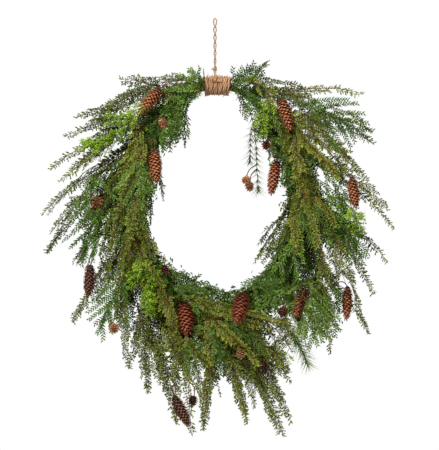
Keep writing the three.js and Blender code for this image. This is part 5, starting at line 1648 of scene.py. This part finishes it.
def grow_wrap():
    """Turns of twine side by side over the top of the hoop, with loose fibres and one stitch across the front."""
    growth = Growth([JUTE, THREAD, SHADED_JUTE])
    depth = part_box("twine_wrap")
    half_depth = (depth[1][1] - depth[0][1]) / 2 - WRAP_STRAND / 2
    points = []
    for k in range(WRAP_TURNS * WRAP_STATIONS + 1):
        turn = TURN * k / WRAP_STATIONS
        along = -1 + 2 * k / (WRAP_TURNS * WRAP_STATIONS)
        loop = k // WRAP_STATIONS
        slant = 0.008 * math.cos(turn) + 0.006 * math.sin(3.1 * loop + 1.0) * math.sin(turn)
        spot, out, _ = hoop_spot(WRAP_SPAN * 0.93 * along + slant)
        out = unit(out + [0, 0, 1.6])
        proud = (0.5 * math.sin(2.3 * loop) + 0.35 * math.sin(5.1 * loop + 1)) * MM
        radius = WRAP_HEIGHT / 2 - WRAP_STRAND / 2 - 0.8 * MM * along * along + proud
        points.append(spot + radius * math.cos(turn) * out + min(radius, half_depth) * math.sin(turn) * VIEWER)
    twine(growth, np.array(points), WRAP_STRAND, lay=WRAP_LAY, sides=6)
    # The core shows between the turns at age 0, in the jute's darkest colour: painted shade.
    core = np.array([hoop_spot(a)[0] for a in np.linspace(-0.9 * WRAP_SPAN, 0.9 * WRAP_SPAN, 9)])
    growth.stem(core, np.full(len(core), WRAP_HEIGHT / 2 - 0.8 * WRAP_STRAND), 14, (0.0, 0.0), 0.5, JUTE)
    front = hoop_spot(0)[0] + half_depth * VIEWER
    thread = smoothed(front + np.array(STITCH) * MM, 1.6 * MM)
    growth.stem(thread, np.full(len(thread), 1.3 * MM), 6, (0.2, 0.5), 0.5, THREAD)
    for end in (thread[1], thread[-2]):
        hole = end + np.outer([-2.6, 0, 2.6], [0.9, 0, 0.35]) * MM + [0, -1.0 * MM, -0.6 * MM]
        growth.stem(hole, np.array([0.5, 1.5, 0.5]) * MM, 6, (0.0, 0.0), 0.5, SHADED_JUTE)
    for _ in range(LOOSE_FIBRES):
        turn = chance.uniform(-1.2, 1.5)
        spot, out, along = hoop_spot(chance.uniform(-WRAP_SPAN, WRAP_SPAN))
        way = unit(math.cos(turn) * out + math.sin(turn) * VIEWER)
        root = spot + (WRAP_HEIGHT / 2 - 1.5 * MM) * (math.cos(turn) * out + math.sin(turn) * VIEWER)
        aside = unit(along * chance.uniform(-1, 1) + 0.6 * np.array([chance.uniform(-1, 1) for _ in range(3)]))
        reach = chance.uniform(4, 9) * MM
        fibre = np.array([root, root + 0.4 * reach * unit(way + aside), root + reach * unit(0.35 * way + aside)])
        growth.stem(fibre, np.full(3, 0.16 * MM), 3, (0.9, 1.0), 0.5, JUTE)
    growth.raise_by(WRAP_RISE)
    growth.piece("twine_wrap_turns", "jute_twine", "twine_wrap")


def grow_hanger():
    """The doubled twine: an eye, two strands that cross every half twist, and the knot over the wrap."""
    growth = Growth([JUTE])

    def strand(z, hand):
        angle = math.pi * (z - KNOT_HEIGHT) / HALF_TWIST
        spread = np.interp(z, [-104 * MM, -70 * MM, -20 * MM], [1.6, 2.0, 2.8]) * MM
        return [hand * spread * math.cos(angle), hand * 1.45 * MM * math.sin(angle), z]

    heights = np.linspace(-106 * MM, -17 * MM, 44)
    line = np.concatenate([[strand(z, 1) for z in heights], np.array(EYE) * MM,
                           [strand(z, -1) for z in heights[::-1]]])
    twine(growth, smoothed(line, 1.5 * MM), 1.08 * TWINE, lay=9 * MM)

    # Below the knot both strands part and ride over the front of the wrap, and their ends tuck in.
    ride = WRAP_HEIGHT / 2 + TWINE / 2
    middle = hoop_spot(0)[0][2]
    for hand in (1, -1):
        over = [(hand * 1.4 * MM, 0, -107 * MM), (hand * 1.5 * MM, -0.8 * MM, -114 * MM)]
        for turn in map(math.radians, (8, 24, 40, 56, 70)):
            over.append((hand * 1.5 * MM, -ride * math.sin(turn), middle + ride * math.cos(turn)))
        tucked = math.radians(80)
        over.append((hand * 1.2 * MM, -(ride - 3 * MM) * math.sin(tucked), middle + ride * math.cos(tucked)))
        twine(growth, smoothed(np.array(over), 1.6 * MM), 0.95 * TWINE)
    knot = [(2.9 * MM * math.cos(t), -2.7 * MM * math.sin(t), KNOT_HEIGHT + (3.6 - 2.9 * t / TURN) * MM)
            for t in np.linspace(0, 2.6 * TURN, 44)]
    twine(growth, np.array(knot), 1.15 * TWINE)
    twine(growth, smoothed(np.array(SHORT_END) * MM + [0, 0, KNOT_HEIGHT], 1.5 * MM), 1.2 * TWINE)
    growth.raise_by(WRAP_RISE)
    growth.piece("twine_hanger_strands", "jute_twine", "twine_hanger")


add_camera()
set_world()
for light in LIGHTS:
    add_light(*light)
add_floor()
grow_hoop()
grow_wrap()
grow_hanger()
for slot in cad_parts["binding_wire"].material_slots:
    slot.material = WIRE
grow_filling(grow_boughs())
grow_cones()
